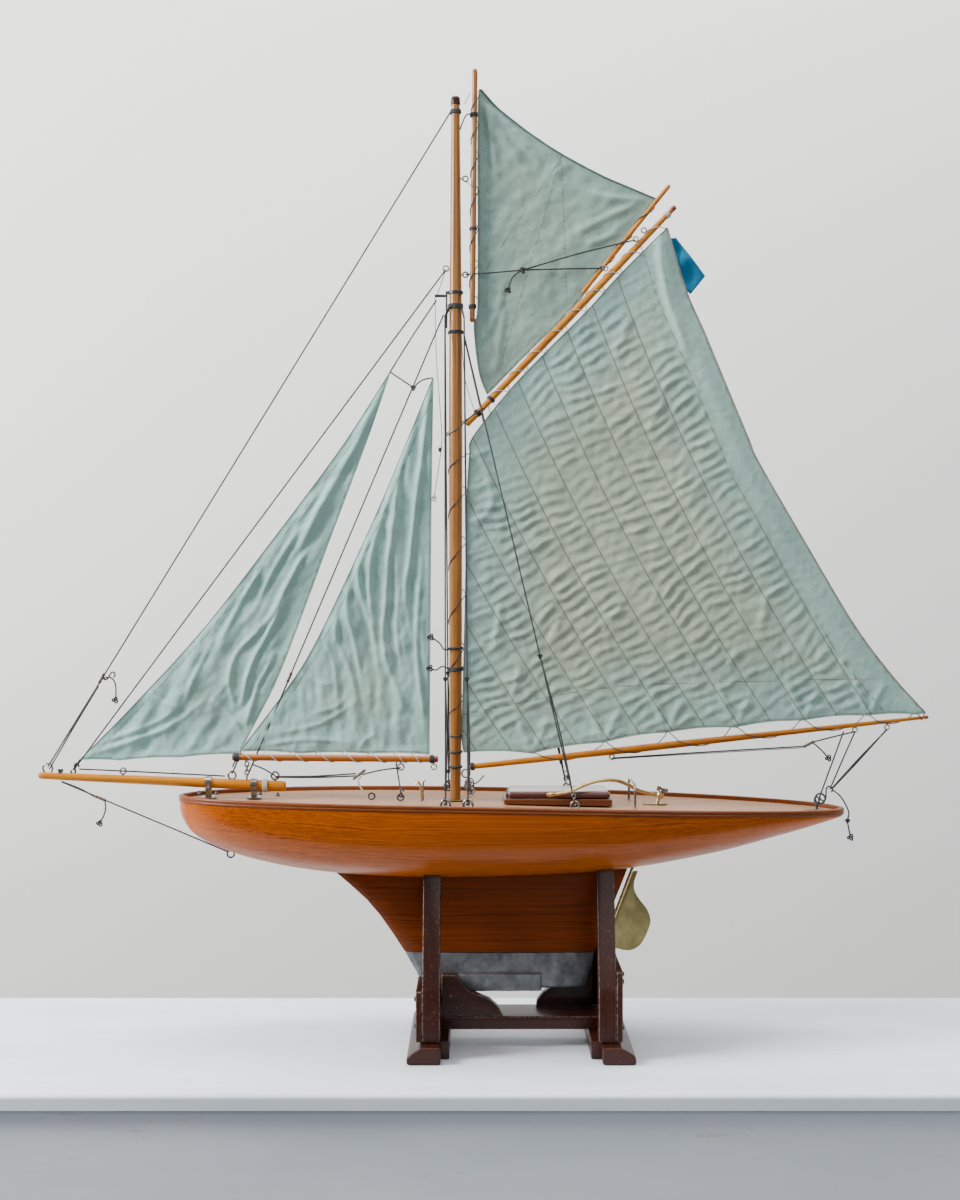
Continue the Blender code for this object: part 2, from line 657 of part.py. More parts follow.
def make_standing_rigging(yacht):
    stays = {
        "topmast_stay": ((-0.5930, 0.0, 0.3730), (-0.0450, 0.0, 1.2640)),
        "jib_stay": (JIB_STAY_FOOT, JIB_STAY_HEAD),
        "forestay": (STAY_FOOT, STAY_HEAD),
        "bobstay": ((-0.5740, 0.0, 0.3525), (-0.3480, 0.0, 0.2575)),
        "mainsheet": ((0.4580, 0.0, 0.3340), (0.4900, 0.0, 0.4210)),
        "staysail_sheet": ((-0.1120, -0.0165, 0.3420), (-0.1190, 0.0, 0.3790)),
    }
    fore, aft = SHROUD_X
    for side, sign in SIDES:
        low_y = sign * SHROUD_Y
        high_y = sign * 0.0075
        stays[f"shroud_fore_{side}"] = ((fore, low_y, SHROUD_LOW_Z), (-0.0525, high_y, 0.9860))
        stays[f"shroud_aft_{side}"] = ((aft, low_y, SHROUD_LOW_Z), (-0.0265, high_y, 0.9850))
        stays[f"runner_{side}"] = ((0.1175, sign * 0.1030, 0.3392), (-0.0270, sign * 0.0090, 0.9620))
    for name, points in stays.items():
        tube(name, points, CORD_RADIUS, RIGGING, yacht)


def make_main_rig(rig):
    spar("boom", BOOM_FORE, BOOM_AFT, BOOM_RADII, PINE, rig)
    spar("gaff", GAFF_FORE, GAFF_PEAK, GAFF_RADII, PINE, rig)
    spar("topsail_yard", YARD_FOOT, YARD_TOP, YARD_RADII, PINE, rig, sides=10)
    spar("jackyard", JACK_FOOT, JACK_TOP, JACK_RADII, PINE, rig, sides=10)
    half = SAIL_THICKNESS / 2
    plate("mainsail", MAINSAIL, (-half, half), MAINSAIL_CLOTH, rig)
    plate("topsail", TOPSAIL, (TOPSAIL_Y, TOPSAIL_Y + SAIL_THICKNESS), MAINSAIL_CLOTH, rig)
    plate("pennant", PENNANT, PENNANT_Y, PENNANT_CLOTH, rig)


def make_headsails(staysail_pivot, jib_pivot):
    half = SAIL_THICKNESS / 2
    spar("club_boom", CLUB_FORE, CLUB_AFT, CLUB_RADII, PINE, staysail_pivot, y=CLUB_Y)
    plate("staysail", STAYSAIL, (STAYSAIL_Y - SAIL_THICKNESS, STAYSAIL_Y), HEADSAIL_CLOTH, staysail_pivot)
    plate("jib", JIB, (-half, half), HEADSAIL_CLOTH, jib_pivot)


def stock_point(z):
    """The point of the rudder's raked axis at height z."""
    share = (z - STOCK_FOOT.z) / (STOCK_HEAD.z - STOCK_FOOT.z)
    return STOCK_FOOT.lerp(STOCK_HEAD, share)


def make_rudder(rudder, nut):
    """Blade, stock and tiller, laid out fore and aft, which the rudder's axis turns to where they rest."""
    steering = plate("rudder", BLADE, (-BLADE_HALF_THICKNESS, BLADE_HALF_THICKNESS), BRASS, rudder)
    stock = rod("rudder_stock", STOCK_FOOT, STOCK_HEAD, STOCK_RADIUS, BRASS, rudder, sides=10)
    boolean(steering, stock, "UNION")
    points = [Vector((x, 0.0, z)) for x, z in TILLER_RUN]
    side = Vector((0.0, 1.0, 0.0))
    bm = bmesh.new()
    rings = []
    for i, centre in enumerate(points):
        along = (points[min(i + 1, len(points) - 1)] - points[max(i - 1, 0)]).normalized()
        up = side.cross(along)
        rings.append([centre + TILLER_RADIUS * (c * side + s * up) for c, s in circle(TILLER_SIDES)])
    loft(bm, rings)
    tiller = mesh_from("tiller", bm, BRASS, rudder)
    boss_run = (STOCK_HEAD + STOCK_AXIS * 0.0006, STOCK_HEAD + STOCK_AXIS * 0.0075)
    boolean(tiller, rod("tiller_boss", *boss_run, 0.0052, BRASS, rudder), "UNION")
    hub_run = (STOCK_HEAD + STOCK_AXIS * 0.0080, STOCK_HEAD + STOCK_AXIS * 0.0125)
    hub = rod("wing_nut", *hub_run, 0.0034, NICKEL, nut, sides=10)
    wings = box("nut_wings", (-0.0008, 0.0008), (-0.0085, 0.0085), (0.0095, 0.0160), NICKEL)
    notch = box("wing_notch", (-0.003, 0.003), (-0.0030, 0.0030), (0.0128, 0.0180), NICKEL)
    for piece in (wings, notch):
        piece.parent = nut
    boolean(wings, notch, "DIFFERENCE")
    boolean(hub, wings, "UNION")
    bpy.context.view_layer.update()
    rudder.matrix_world = rudder.matrix_world @ Matrix.Rotation(TILLER_ANGLE, 4, "Z")


def make_rudder_tube(yacht):
    low = stock_point(TUBE_FOOT_Z)
    high = stock_point(deck_top(PLATE_X) - 0.0062)
    sleeve = rod("rudder_tube", low, high, 0.0042, BRASS, yacht)
    bore = rod("tube_bore", low - STOCK_AXIS * 0.02, high + STOCK_AXIS * 0.02, 0.0030)
    boolean(sleeve, bore, "DIFFERENCE")


def board_outline(top, slot=()):
    """An end board in Y and Z, with its upper corners cut, and a slot of (half width, bottom) in its top."""
    half = BOARD_HALF_LENGTH
    corner = BOARD_CORNER
    side = [(half, STAND_BASE_Z), (half, top - corner), (half - corner * 0.3, top - corner * 0.3)]
    side.append((half - corner, top))
    if slot:
        side += [(slot[0], top), slot]
    return side + [(-y, z) for y, z in reversed(side)]


def make_stand(cutter):
    feet = (
        ("fore", -0.1000, -0.0557, (-0.0780, -0.0450), -1),
        ("aft", 0.1971, 0.1534, (0.1404, 0.1750), 1),
    )
    for name, edge, inner, pad_x, outer in feet:
        toe = edge - outer * 0.017
        run = ((inner, 0.0), (edge, 0.0), (edge, 0.0090), (toe, 0.0220), (inner, 0.0220))
        foot = plate(f"stand_foot_{name}", run, (-FOOT_HALF_LENGTH, FOOT_HALF_LENGTH), STAND_WOOD)
        pad = box(f"pad_{name}", pad_x, (-PAD_HALF_LENGTH, PAD_HALF_LENGTH), (GAP, 0.0240), STAND_WOOD)
        boolean(foot, pad, "UNION")
    for end, x in zip(ENDS, (POST_FORE_X, POST_AFT_X)):
        for side, sign in SIDES:
            run = [(sign * y, z) for y, z in POST_OUTLINE]
            boolean(plank(f"stand_post_{end}_{side}", run, x, STAND_WOOD), cutter, "DIFFERENCE")
    stretcher_x = (POST_FORE_X[0] + 0.0005, POST_AFT_X[1])
    stretcher_y = (-STRETCHER_HALF_WIDTH, STRETCHER_HALF_WIDTH)
    box("stand_stretcher", stretcher_x, stretcher_y, (STAND_BASE_Z, STRETCHER_TOP_Z), STAND_WOOD, bevel=0.001)
    plate("stand_gusset_fore", GUSSET_FORE, GUSSET_FORE_Y, STAND_WOOD)
    plate("stand_gusset_aft", GUSSET_AFT, GUSSET_AFT_Y, STAND_WOOD)
    plank("stand_board_fore", board_outline(BOARD_FORE[1], KEEL_SLOT), BOARD_FORE[0], STAND_WOOD)
    plank("stand_board_aft", board_outline(BOARD_AFT[1]), BOARD_AFT[0], STAND_WOOD)


def main():
    clear_scene()
    yacht = pivot("yacht_frame", (HULL_MIDDLE_X, 0.0, 0.24))
    rig = pivot("boom_axis", (MAST_X, 0.0, BOOM_FORE[1]), parent=yacht)
    stay_run = Vector(STAY_HEAD) - Vector(STAY_FOOT)
    jib_run = Vector(JIB_STAY_HEAD) - Vector(JIB_STAY_FOOT)
    staysail = pivot("staysail_axis", STAY_FOOT, stay_run, yacht)
    jib = pivot("jib_axis", JIB_STAY_FOOT, jib_run, yacht)
    rudder = pivot("rudder_axis", STOCK_HEAD, STOCK_HEAD - STOCK_FOOT, yacht)
    nut = pivot("nut_axis", STOCK_HEAD, STOCK_HEAD - STOCK_FOOT, rudder)
    hatch = pivot("hatch_axis", (0.1008, 0.0, COVER_Z[0]), parent=yacht)
    cutter = hull_cutter()
    make_stand(cutter)
    make_hull(yacht)
    make_deck(yacht)
    make_rail(yacht)
    make_keel(yacht, cutter)
    make_hatch_coaming(yacht)
    make_head_plate(yacht)
    make_tiller_horse(yacht)
    make_eyes(yacht)
    make_bowsprit(yacht)
    make_mast(yacht)
    make_standing_rigging(yacht)
    make_main_rig(rig)
    make_headsails(staysail, jib)
    make_rudder(rudder, nut)
    make_rudder_tube(yacht)
    cover = box("hatch_cover", COVER_X, (-COVER_HALF_WIDTH, COVER_HALF_WIDTH), COVER_Z, STAND_WOOD, hatch)
    rounded = cover.modifiers.new("edges", "BEVEL")
    rounded.width = 0.004
    rounded.segments = 3


main()
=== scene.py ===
"""Looks of the gaff cutter pond yacht: varnished hull, creased cotton sails, brass, lead and cord rigging.

Metres, in the CAD frame: +X aft, +Y starboard, +Z up, with the origin on the ground under the stand.
"""
import json
import math

import bmesh
import bpy
import numpy as np
from mathutils import Matrix, Vector, noise
from mathutils.geometry import delaunay_2d_cdt


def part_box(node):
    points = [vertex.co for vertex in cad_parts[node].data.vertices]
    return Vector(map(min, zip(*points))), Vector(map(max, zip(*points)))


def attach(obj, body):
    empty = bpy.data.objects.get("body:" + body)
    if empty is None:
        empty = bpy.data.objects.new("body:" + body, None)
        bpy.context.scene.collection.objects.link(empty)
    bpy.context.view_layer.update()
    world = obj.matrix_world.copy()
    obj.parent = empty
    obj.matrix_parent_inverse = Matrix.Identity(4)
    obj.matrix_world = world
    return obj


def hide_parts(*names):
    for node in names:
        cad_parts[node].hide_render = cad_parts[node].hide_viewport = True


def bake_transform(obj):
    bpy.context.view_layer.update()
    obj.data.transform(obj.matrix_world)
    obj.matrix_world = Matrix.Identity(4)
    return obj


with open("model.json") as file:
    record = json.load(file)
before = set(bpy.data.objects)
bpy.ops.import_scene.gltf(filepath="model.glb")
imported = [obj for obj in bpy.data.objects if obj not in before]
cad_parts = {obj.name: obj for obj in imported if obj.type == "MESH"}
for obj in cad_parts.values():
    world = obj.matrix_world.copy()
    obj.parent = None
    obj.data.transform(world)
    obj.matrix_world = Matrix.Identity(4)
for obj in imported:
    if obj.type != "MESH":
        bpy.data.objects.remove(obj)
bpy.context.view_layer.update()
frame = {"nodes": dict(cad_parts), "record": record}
SCENE = bpy.context.scene.collection

# Radii of a rigging cord, a sail lacing, a light line, and the wire of the fittings.
CORD = 0.00104
LACING = 0.00065
LIGHT_LINE = 0.0005
WIRE = 0.0012
SIDE = Vector((0.0, 1.0, 0.0))
SIDES = ((-1, "port"), (1, "starboard"))
UPRIGHT = (0, 0, 1)
# The width of the mainsail's panels, the step along a cord, and the sizes of loose ends.
PANEL = 0.0475
ROUTE_STEP = 0.003
TAIL_KNOT = 0.0042
# How finely round things are divided.
SPAR_SPANS = 60
RING_SIDES = 28
WASHER_SIDES = 36
TURN_STEPS = 16
LACING_STEPS = 24
# Degrees from amidships to where the tiller rests.
RUDDER_ANGLE = 18.5


# ---------------------------------------------------------------- shaders

def node(tree, kind, inputs=None, **settings):
    """A shader node. An input that is a socket is linked, and any other value is set."""
    made = tree.nodes.new(kind)
    for key, value in settings.items():
        setattr(made, key, value)
    for key, value in (inputs or {}).items():
        if isinstance(value, bpy.types.NodeSocket):
            tree.links.new(value, made.inputs[key])
        else:
            made.inputs[key].default_value = value
    return made


def math_node(tree, operation, a, b=0.0, clamp=False):
    """The result of a sum or other operation on two values or sockets."""
    made = node(tree, "ShaderNodeMath", {0: a, 1: b}, operation=operation, use_clamp=clamp)
    return made.outputs[0]


def blank(name, roughness, metallic=0.0, coat=0.0, coat_roughness=0.1, specular=0.5, sheen=0.0):
    """A material with its Principled shader's plain values set on the shader itself."""
    made = bpy.data.materials.new(name)
    made.use_nodes = True
    tree = made.node_tree
    shader = tree.nodes["Principled BSDF"]
    shader.inputs["Roughness"].default_value = roughness
    shader.inputs["Metallic"].default_value = metallic
    shader.inputs["Coat Weight"].default_value = coat
    shader.inputs["Coat Roughness"].default_value = coat_roughness
    shader.inputs["Specular IOR Level"].default_value = specular
    shader.inputs["Sheen Weight"].default_value = sheen
    return made, tree, shader


def place(tree, scale=(1.0, 1.0, 1.0), turn=(0.0, 0.0, 0.0)):
    """Object coordinates, stretched and turned."""
    coordinates = node(tree, "ShaderNodeTexCoord").outputs["Object"]
    return node(tree, "ShaderNodeMapping", {"Vector": coordinates, "Scale": scale,
                                            "Rotation": turn}).outputs[0]


def noise_at(tree, vector, scale, detail=4.0, roughness=0.55, distortion=0.0):
    """Noise from 0 to 1 over a surface."""
    values = {"Vector": vector, "Scale": scale, "Detail": detail, "Roughness": roughness,
              "Distortion": distortion}
    return node(tree, "ShaderNodeTexNoise", values).outputs["Fac"]


def ramp(tree, factor, stops):
    """A colour ramp: stops are (position, colour)."""
    made = node(tree, "ShaderNodeValToRGB", {"Fac": factor})
    elements = made.color_ramp.elements
    while len(elements) < len(stops):
        elements.new(0.5)
    for element, (position, colour) in zip(elements, stops):
        element.position = position
        element.color = (*colour, 1.0)
    return made.outputs["Color"]


def mix(tree, factor, a, b, blend="MIX"):
    """Two colours, each a socket or an RGB triple, blended by factor."""
    made = node(tree, "ShaderNodeMix", data_type="RGBA", blend_type=blend)
    for index, value in ((0, factor), (6, a), (7, b)):
        if isinstance(value, bpy.types.NodeSocket):
            tree.links.new(value, made.inputs[index])
        else:
            made.inputs[index].default_value = value if index == 0 else (*value, 1.0)
    return made.outputs[2]


def bump(tree, height, strength, distance):
    """A normal from a height."""
    return node(tree, "ShaderNodeBump", {"Height": height, "Strength": strength,
                                         "Distance": distance}).outputs[0]


def wood(name, dark, light, along=(1, 0, 0), roughness=0.35, coat=0.5, ring=0.006, streak=0.5, wear=None,
         grain=1.0, specular=0.3):
    """Varnished wood with its grain along one axis: drawn-out fibres, uneven growth rings and slow blotches.
    wear is a colour and how rare its flecks are."""
    made, tree, shader = blank(name, roughness, coat=coat, coat_roughness=0.14, specular=specular)
    stretch = tuple(0.06 + 0.94 * (1 - abs(a)) for a in along)
    fibres = noise_at(tree, place(tree, tuple(520 * s * s for s in stretch)), 1.0, 7.0, 0.68)
    pores = noise_at(tree, place(tree, tuple(1700 * s * s for s in stretch)), 1.0, 2.0, 0.5)
    blotch = noise_at(tree, place(tree, tuple(16 * s for s in stretch)), 1.0, 4.0, 0.55)
    axes = node(tree, "ShaderNodeSeparateXYZ", {0: place(tree, tuple(1 - 0.985 * abs(a) for a in along))})
    centre = math_node(tree, "ADD", axes.outputs[2], 0.13)
    squares = [math_node(tree, "MULTIPLY", spot, spot) for spot in (axes.outputs[0], axes.outputs[1], centre)]
    radius = math_node(tree, "SQRT", math_node(tree, "ADD", squares[0],
                                               math_node(tree, "ADD", squares[1], squares[2])))
    waviness = noise_at(tree, place(tree, tuple(14 * s for s in stretch)), 1.0, 4.0, 0.6)
    swayed = math_node(tree, "ADD", radius, math_node(tree, "MULTIPLY", waviness, 0.055))
    sheet = node(tree, "ShaderNodeCombineXYZ", {0: math_node(tree, "MULTIPLY", swayed, 1.0 / ring)})
    rings = noise_at(tree, sheet.outputs[0], 1.0, 3.0, 0.7)
    factor = math_node(tree, "ADD", math_node(tree, "MULTIPLY", fibres, streak),
                       math_node(tree, "MULTIPLY", blotch, 0.5))
    factor = math_node(tree, "ADD", factor, math_node(tree, "MULTIPLY",
                                                      math_node(tree, "SUBTRACT", rings, 0.5), 0.55 * grain))
    factor = math_node(tree, "ADD", factor, math_node(tree, "MULTIPLY", pores, 0.12 * grain), clamp=True)
    colour = ramp(tree, factor, ((0.32, dark), (0.76, light)))
    if wear:
        worn = noise_at(tree, place(tree, (240, 240, 240)), 1.0, 6.0, 0.75)
        flecks = node(tree, "ShaderNodeMapRange", {"Value": worn, "From Min": wear[1],
                                                   "From Max": wear[1] + 0.05})
        colour = mix(tree, flecks.outputs[0], colour, wear[0])
    tree.links.new(colour, shader.inputs["Base Color"])
    gloss = node(tree, "ShaderNodeMapRange", {"Value": blotch, "To Min": roughness - 0.07,
                                              "To Max": roughness + 0.12})
    tree.links.new(gloss.outputs[0], shader.inputs["Roughness"])
    tree.links.new(bump(tree, pores, 0.22 * grain, 0.0003), shader.inputs["Normal"])
    return made


def metal(name, base, tarnish, roughness=0.38, mottle=90.0, metallic=1.0, pits=0.2):
    """Aged metal: a base colour broken by tarnish, with uneven gloss and small pits."""
    made, tree, shader = blank(name, roughness, metallic=metallic)
    patches = noise_at(tree, place(tree), mottle, 6.0, 0.65)
    cloud = noise_at(tree, place(tree), mottle * 0.2, 3.0, 0.5)
    both = math_node(tree, "ADD", math_node(tree, "MULTIPLY", patches, 0.6),
                     math_node(tree, "MULTIPLY", cloud, 0.4))
    tree.links.new(ramp(tree, both, ((0.34, tarnish), (0.66, base))), shader.inputs["Base Color"])
    gloss = node(tree, "ShaderNodeMapRange", {"Value": both, "From Min": 0.35, "From Max": 0.65,
                                              "To Min": roughness + 0.18, "To Max": roughness - 0.08})
    tree.links.new(gloss.outputs[0], shader.inputs["Roughness"])
    tree.links.new(bump(tree, patches, pits, 0.0006), shader.inputs["Normal"])
    return made


WEAVE = 0.0009


def cloth(name, middle, edge, line, seam_pitch=0.0):
    """Cotton: the panel UV draws stitched seams, and the edge UV fades the colour towards the hems."""
    made, tree, shader = blank(name, 0.92, specular=0.15, sheen=0.15)
    panel = node(tree, "ShaderNodeSeparateXYZ", {0: node(tree, "ShaderNodeUVMap", uv_map="panel").outputs[0]})
    rim = node(tree, "ShaderNodeSeparateXYZ", {0: node(tree, "ShaderNodeUVMap", uv_map="rim").outputs[0]})
    slow = noise_at(tree, place(tree), 9.0, 5.0, 0.6)
    fine = noise_at(tree, place(tree, (1, 1, 1)), 260.0, 3.0, 0.7)
    drift = math_node(tree, "MULTIPLY", math_node(tree, "SUBTRACT", slow, 0.5), 0.1)
    near = math_node(tree, "ADD", rim.outputs[0], drift)
    fade = node(tree, "ShaderNodeMapRange", {"Value": near, "From Min": 0.0, "From Max": 0.13},
                interpolation_type="SMOOTHSTEP")
    colour = mix(tree, fade.outputs[0], edge, middle)
    for soiling, darkest, palest in ((slow, 0.84, 1.1), (fine, 0.9, 1.08)):
        shade = node(tree, "ShaderNodeMapRange", {"Value": soiling, "From Min": 0.3, "From Max": 0.7,
                                                  "To Min": darkest, "To Max": palest}).outputs[0]
        grey = node(tree, "ShaderNodeCombineXYZ", {0: shade, 1: shade, 2: shade}).outputs[0]
        colour = mix(tree, 1.0, colour, grey, "MULTIPLY")
    cell = math_node(tree, "FRACT", math_node(tree, "ADD", panel.outputs[0], 0.5))
    across = math_node(tree, "ABSOLUTE", math_node(tree, "SUBTRACT", cell, 0.5))
    across = math_node(tree, "MULTIPLY", across, max(seam_pitch, 0.001))
    away = math_node(tree, "MINIMUM", across, math_node(tree, "ABSOLUTE", panel.outputs[1]))
    seam = node(tree, "ShaderNodeMapRange", {"Value": away, "From Min": 0.0006, "From Max": 0.0015,
                                             "To Min": 1.0, "To Max": 0.0})
    colour = mix(tree, math_node(tree, "MULTIPLY", seam.outputs[0], 0.75), colour, line)
    tree.links.new(colour, shader.inputs["Base Color"])
    threads = []
    for turn in ((0, math.radians(28), 0), (0, math.radians(118), 0)):
        wave = node(tree, "ShaderNodeTexWave", {"Vector": place(tree, (1, 1, 1), turn),
                                                "Scale": 1.0 / WEAVE / 3.0, "Distortion": 0.6})
        threads.append(wave.outputs["Fac"])
    creases = noise_at(tree, place(tree), 85.0, 5.0, 0.62, 0.8)
    height = math_node(tree, "ADD", math_node(tree, "ADD", threads[0], threads[1]),
                       math_node(tree, "MULTIPLY", creases, 14.0))
    tree.links.new(bump(tree, height, 0.35, 0.0002), shader.inputs["Normal"])
    return made


def cord_material(name, dark, light):
    """Laid cord: slanting strands and a little soiling."""
    made, tree, shader = blank(name, 0.85, specular=0.2)
    strands = node(tree, "ShaderNodeTexWave", {"Vector": place(tree, (1, 1, 1), (0.6, 0.7, 0.2)),
                                               "Scale": 330.0, "Distortion": 1.0})
    soil = noise_at(tree, place(tree), 60.0, 3.0)
    factor = math_node(tree, "ADD", math_node(tree, "MULTIPLY", strands.outputs["Fac"], 0.4),
                       math_node(tree, "MULTIPLY", soil, 0.6))
    tree.links.new(ramp(tree, factor, ((0.25, dark), (0.8, light))), shader.inputs["Base Color"])
    tree.links.new(bump(tree, strands.outputs["Fac"], 0.5, 0.0003), shader.inputs["Normal"])
    return made


HULL = wood("hull varnish", (0.045, 0.004, 0.0001), (0.48, 0.098, 0.0006), roughness=0.26, coat=0.08,
            ring=0.0022, streak=0.55, grain=1.5, specular=0.15)
KEEL = wood("keel wood", (0.012, 0.0014, 0.0001), (0.195, 0.034, 0.0006), roughness=0.36, coat=0.04,
            ring=0.003, streak=0.5, grain=1.5, specular=0.14)
RAIL = wood("rail wood", (0.07, 0.011, 0.0018), (0.24, 0.06, 0.0095), roughness=0.4, coat=0.1,
            wear=((0.5, 0.3, 0.18), 0.66), specular=0.22)
DECK = wood("deck wood", (0.13, 0.056, 0.026), (0.4, 0.215, 0.122), roughness=0.46, coat=0.03, ring=0.009,
            streak=0.6, wear=((0.34, 0.12, 0.05), 0.66), specular=0.18)
HATCH_WOOD = wood("hatch wood", (0.03, 0.0055, 0.0007), (0.14, 0.033, 0.0038), roughness=0.34, coat=0.12)
PINE_X = wood("pine along", (0.17, 0.042, 0.0008), (0.6, 0.215, 0.006), roughness=0.36, coat=0.03,
              ring=0.0024, specular=0.18)
PINE_Z = wood("pine upright", (0.1, 0.028, 0.003), (0.46, 0.19, 0.034), along=(0, 0, 1), roughness=0.34,
              coat=0.35, ring=0.0028)
PINE_DIAGONAL = wood("pine diagonal", (0.24, 0.062, 0.003), (0.72, 0.28, 0.024), along=(0.7, 0, 0.7),
                     roughness=0.34, coat=0.1, ring=0.0028)
RED_PINE = wood("red pine", (0.17, 0.036, 0.003), (0.54, 0.16, 0.016), roughness=0.34, coat=0.3, ring=0.0028)
STAND_X = wood("stand wood", (0.0035, 0.0007, 0.0004), (0.05, 0.01, 0.005), roughness=0.36, coat=0.1,
               wear=((0.085, 0.045, 0.03), 0.6), specular=0.22)
STAND_Z = wood("stand upright wood", (0.0035, 0.0007, 0.0004), (0.052, 0.0105, 0.0052), along=(0, 0, 1),
               roughness=0.36, coat=0.1, wear=((0.085, 0.045, 0.03), 0.59), specular=0.22)
STAND_EDGE = wood("stand worn edge", (0.012, 0.0035, 0.002), (0.26, 0.165, 0.12), roughness=0.42, coat=0.05,
                  wear=((0.01, 0.003, 0.002), 0.49))
# Painted highlight: the hatch cover's top is dark like its sides, and this pale grey-pink colour on its top
# face paints the light the top catches.
COVER_TOP_HIGHLIGHT = wood("hatch cover top painted highlight", (0.25, 0.2, 0.2), (0.52, 0.47, 0.46), roughness=0.5, coat=0.2,
                 wear=((0.1, 0.03, 0.025), 0.62))
COVER_SIDE = wood("hatch cover side", (0.022, 0.0045, 0.004), (0.1, 0.022, 0.016), roughness=0.3, coat=0.4)
LEAD = metal("cast lead", (0.205, 0.21, 0.222), (0.055, 0.057, 0.063), roughness=0.46, mottle=60.0,
             metallic=0.55, pits=0.6)
BRASS = metal("aged brass", (0.335, 0.265, 0.115), (0.135, 0.105, 0.042), roughness=0.36, mottle=26.0)
BRASS_ROD = metal("rubbed brass", (0.8, 0.58, 0.25), (0.42, 0.29, 0.11), roughness=0.24, mottle=110.0)
NICKEL = metal("dull nickel", (0.46, 0.44, 0.4), (0.06, 0.056, 0.05), roughness=0.26, mottle=180.0)
IRON = metal("blackened iron", (0.1, 0.105, 0.12), (0.015, 0.015, 0.017), roughness=0.42, mottle=200.0,
             metallic=0.8)
MAIN_CLOTH = cloth("mainsail cotton", (0.385, 0.468, 0.362), (0.33, 0.505, 0.455), (0.15, 0.17, 0.12),
                   seam_pitch=PANEL)
TOP_CLOTH = cloth("topsail cotton", (0.3, 0.405, 0.325), (0.265, 0.4, 0.35), (0.13, 0.18, 0.15),
                  seam_pitch=0.05)
HEAD_CLOTH = cloth("headsail cotton", (0.35, 0.48, 0.41), (0.33, 0.55, 0.505), (0.12, 0.19, 0.17),
                   seam_pitch=0.06)
BLUE_CLOTH = cloth("pennant cotton", (0.01, 0.27, 0.46), (0.012, 0.33, 0.58), (0.01, 0.12, 0.24))
HEM_CLOTH = cord_material("hem cotton", (0.17, 0.24, 0.21), (0.31, 0.42, 0.38))
LEECH_CORD = cord_material("worn leech rope", (0.13, 0.13, 0.1), (0.3, 0.32, 0.26))
RIGGING = cord_material("grey cord", (0.008, 0.009, 0.01), (0.095, 0.098, 0.1))
PALE_CORD = cord_material("pale lacing", (0.28, 0.27, 0.23), (0.66, 0.62, 0.54))
DARK_HEM = cord_material("dark hem cotton", (0.05, 0.09, 0.085), (0.12, 0.19, 0.18))
BOWSIE = wood("bowsie wood", (0.05, 0.035, 0.025), (0.2, 0.15, 0.1), along=(0, 0, 1), roughness=0.45,
              coat=0.2)
RED_PAINT = wood("dark red end", (0.1, 0.018, 0.012), (0.22, 0.05, 0.03), roughness=0.38, coat=0.35)


# ---------------------------------------------------------------- building pieces

def add(name, data, look, body, replaces=()):
    """Links a piece, dresses it and sets it on its CAD body."""
    piece = bpy.data.objects.new(name, data)
    SCENE.objects.link(piece)
    data.materials.append(look)
    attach(piece, body)
    if replaces:
        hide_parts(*replaces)
    return piece


def mesh_piece(name, points, faces, look, body, slot=None, replaces=(), smooth=40):
    """A piece from points and faces, smooth except at edges sharper than smooth degrees."""
    mesh = bpy.data.meshes.new(name)
    mesh.from_pydata([tuple(p) for p in points], [], [tuple(f) for f in faces])
    mesh.update()
    if smooth:
        mesh.shade_smooth()
        mesh.set_sharp_from_angle(angle=math.radians(smooth))
    return add(name, mesh, look, body, replaces)


def rings_mesh(rings, closed_loop=False):
    """Points and faces that join rings of points; each ring is a closed loop."""
    count = len(rings[0])
    points = [p for ring in rings for p in ring]
    faces = []
    spans = len(rings) if closed_loop else len(rings) - 1
    for i in range(spans):
        a = i * count
        b = ((i + 1) % len(rings)) * count
        for j in range(count):
            k = (j + 1) % count
            faces.append((a + j, a + k, b + k, b + j))
    if not closed_loop:
        faces.append(tuple(reversed(range(count))))
        faces.append(tuple(range(len(points) - count, len(points))))
    return points, faces


def circle(centre, radius, across, up, sides):
    """Points evenly round a centre, in the plane of across and up."""
    angles = (2 * math.pi * k / sides for k in range(sides))
    return [centre + radius * (math.cos(t) * across + math.sin(t) * up) for t in angles]


def frame_along(points, closed=False):
    """A side and an up direction at each point of a line, turned as little as possible between points."""
    count = len(points)
    frames = []
    side = None
    for i, point in enumerate(points):
        before = points[(i - 1) % count] if closed or i > 0 else point
        after = points[(i + 1) % count] if closed or i < count - 1 else point
        along = (after - before).normalized()
        if side is None:
            side = along.cross(Vector((0, 0, 1)))
            if side.length < 0.1:
                side = along.cross(Vector((1, 0, 0)))
        side = (side - side.dot(along) * along).normalized()
        frames.append((side, along.cross(side)))
    return frames


def swept(name, points, radii, look, body, sides=12, slot=None, replaces=(), closed=False):
    """A rod along points. radii is one radius or one for each point."""
    points = [Vector(p) for p in points]
    if isinstance(radii, float):
        radii = [radii] * len(points)
    rings = []
    for point, radius, (side, up) in zip(points, radii, frame_along(points, closed)):
        rings.append(circle(point, radius, side, up, sides))
    mesh = rings_mesh(rings, closed)
    return mesh_piece(name, *mesh, look, body, slot, replaces, smooth=50)


def curve_through(points, step):
    """Points every step along a smooth curve through the given points (Catmull-Rom)."""
    points = [Vector(p) for p in points]
    if len(points) == 2:
        return points
    out = []
    for i in range(len(points) - 1):
        p0, p1, p2, p3 = points[max(i - 1, 0)], points[i], points[i + 1], points[min(i + 2, len(points) - 1)]
        count = max(1, round((p2 - p1).length / step))
        for k in range(count):
            u = k / count
            out.append(p1 + 0.5 * u * (p2 - p0 + u * (2 * p0 - 5 * p1 + 4 * p2 - p3
                                                      + u * (3 * (p1 - p2) + p3 - p0))))
    out.append(points[-1])
    return out


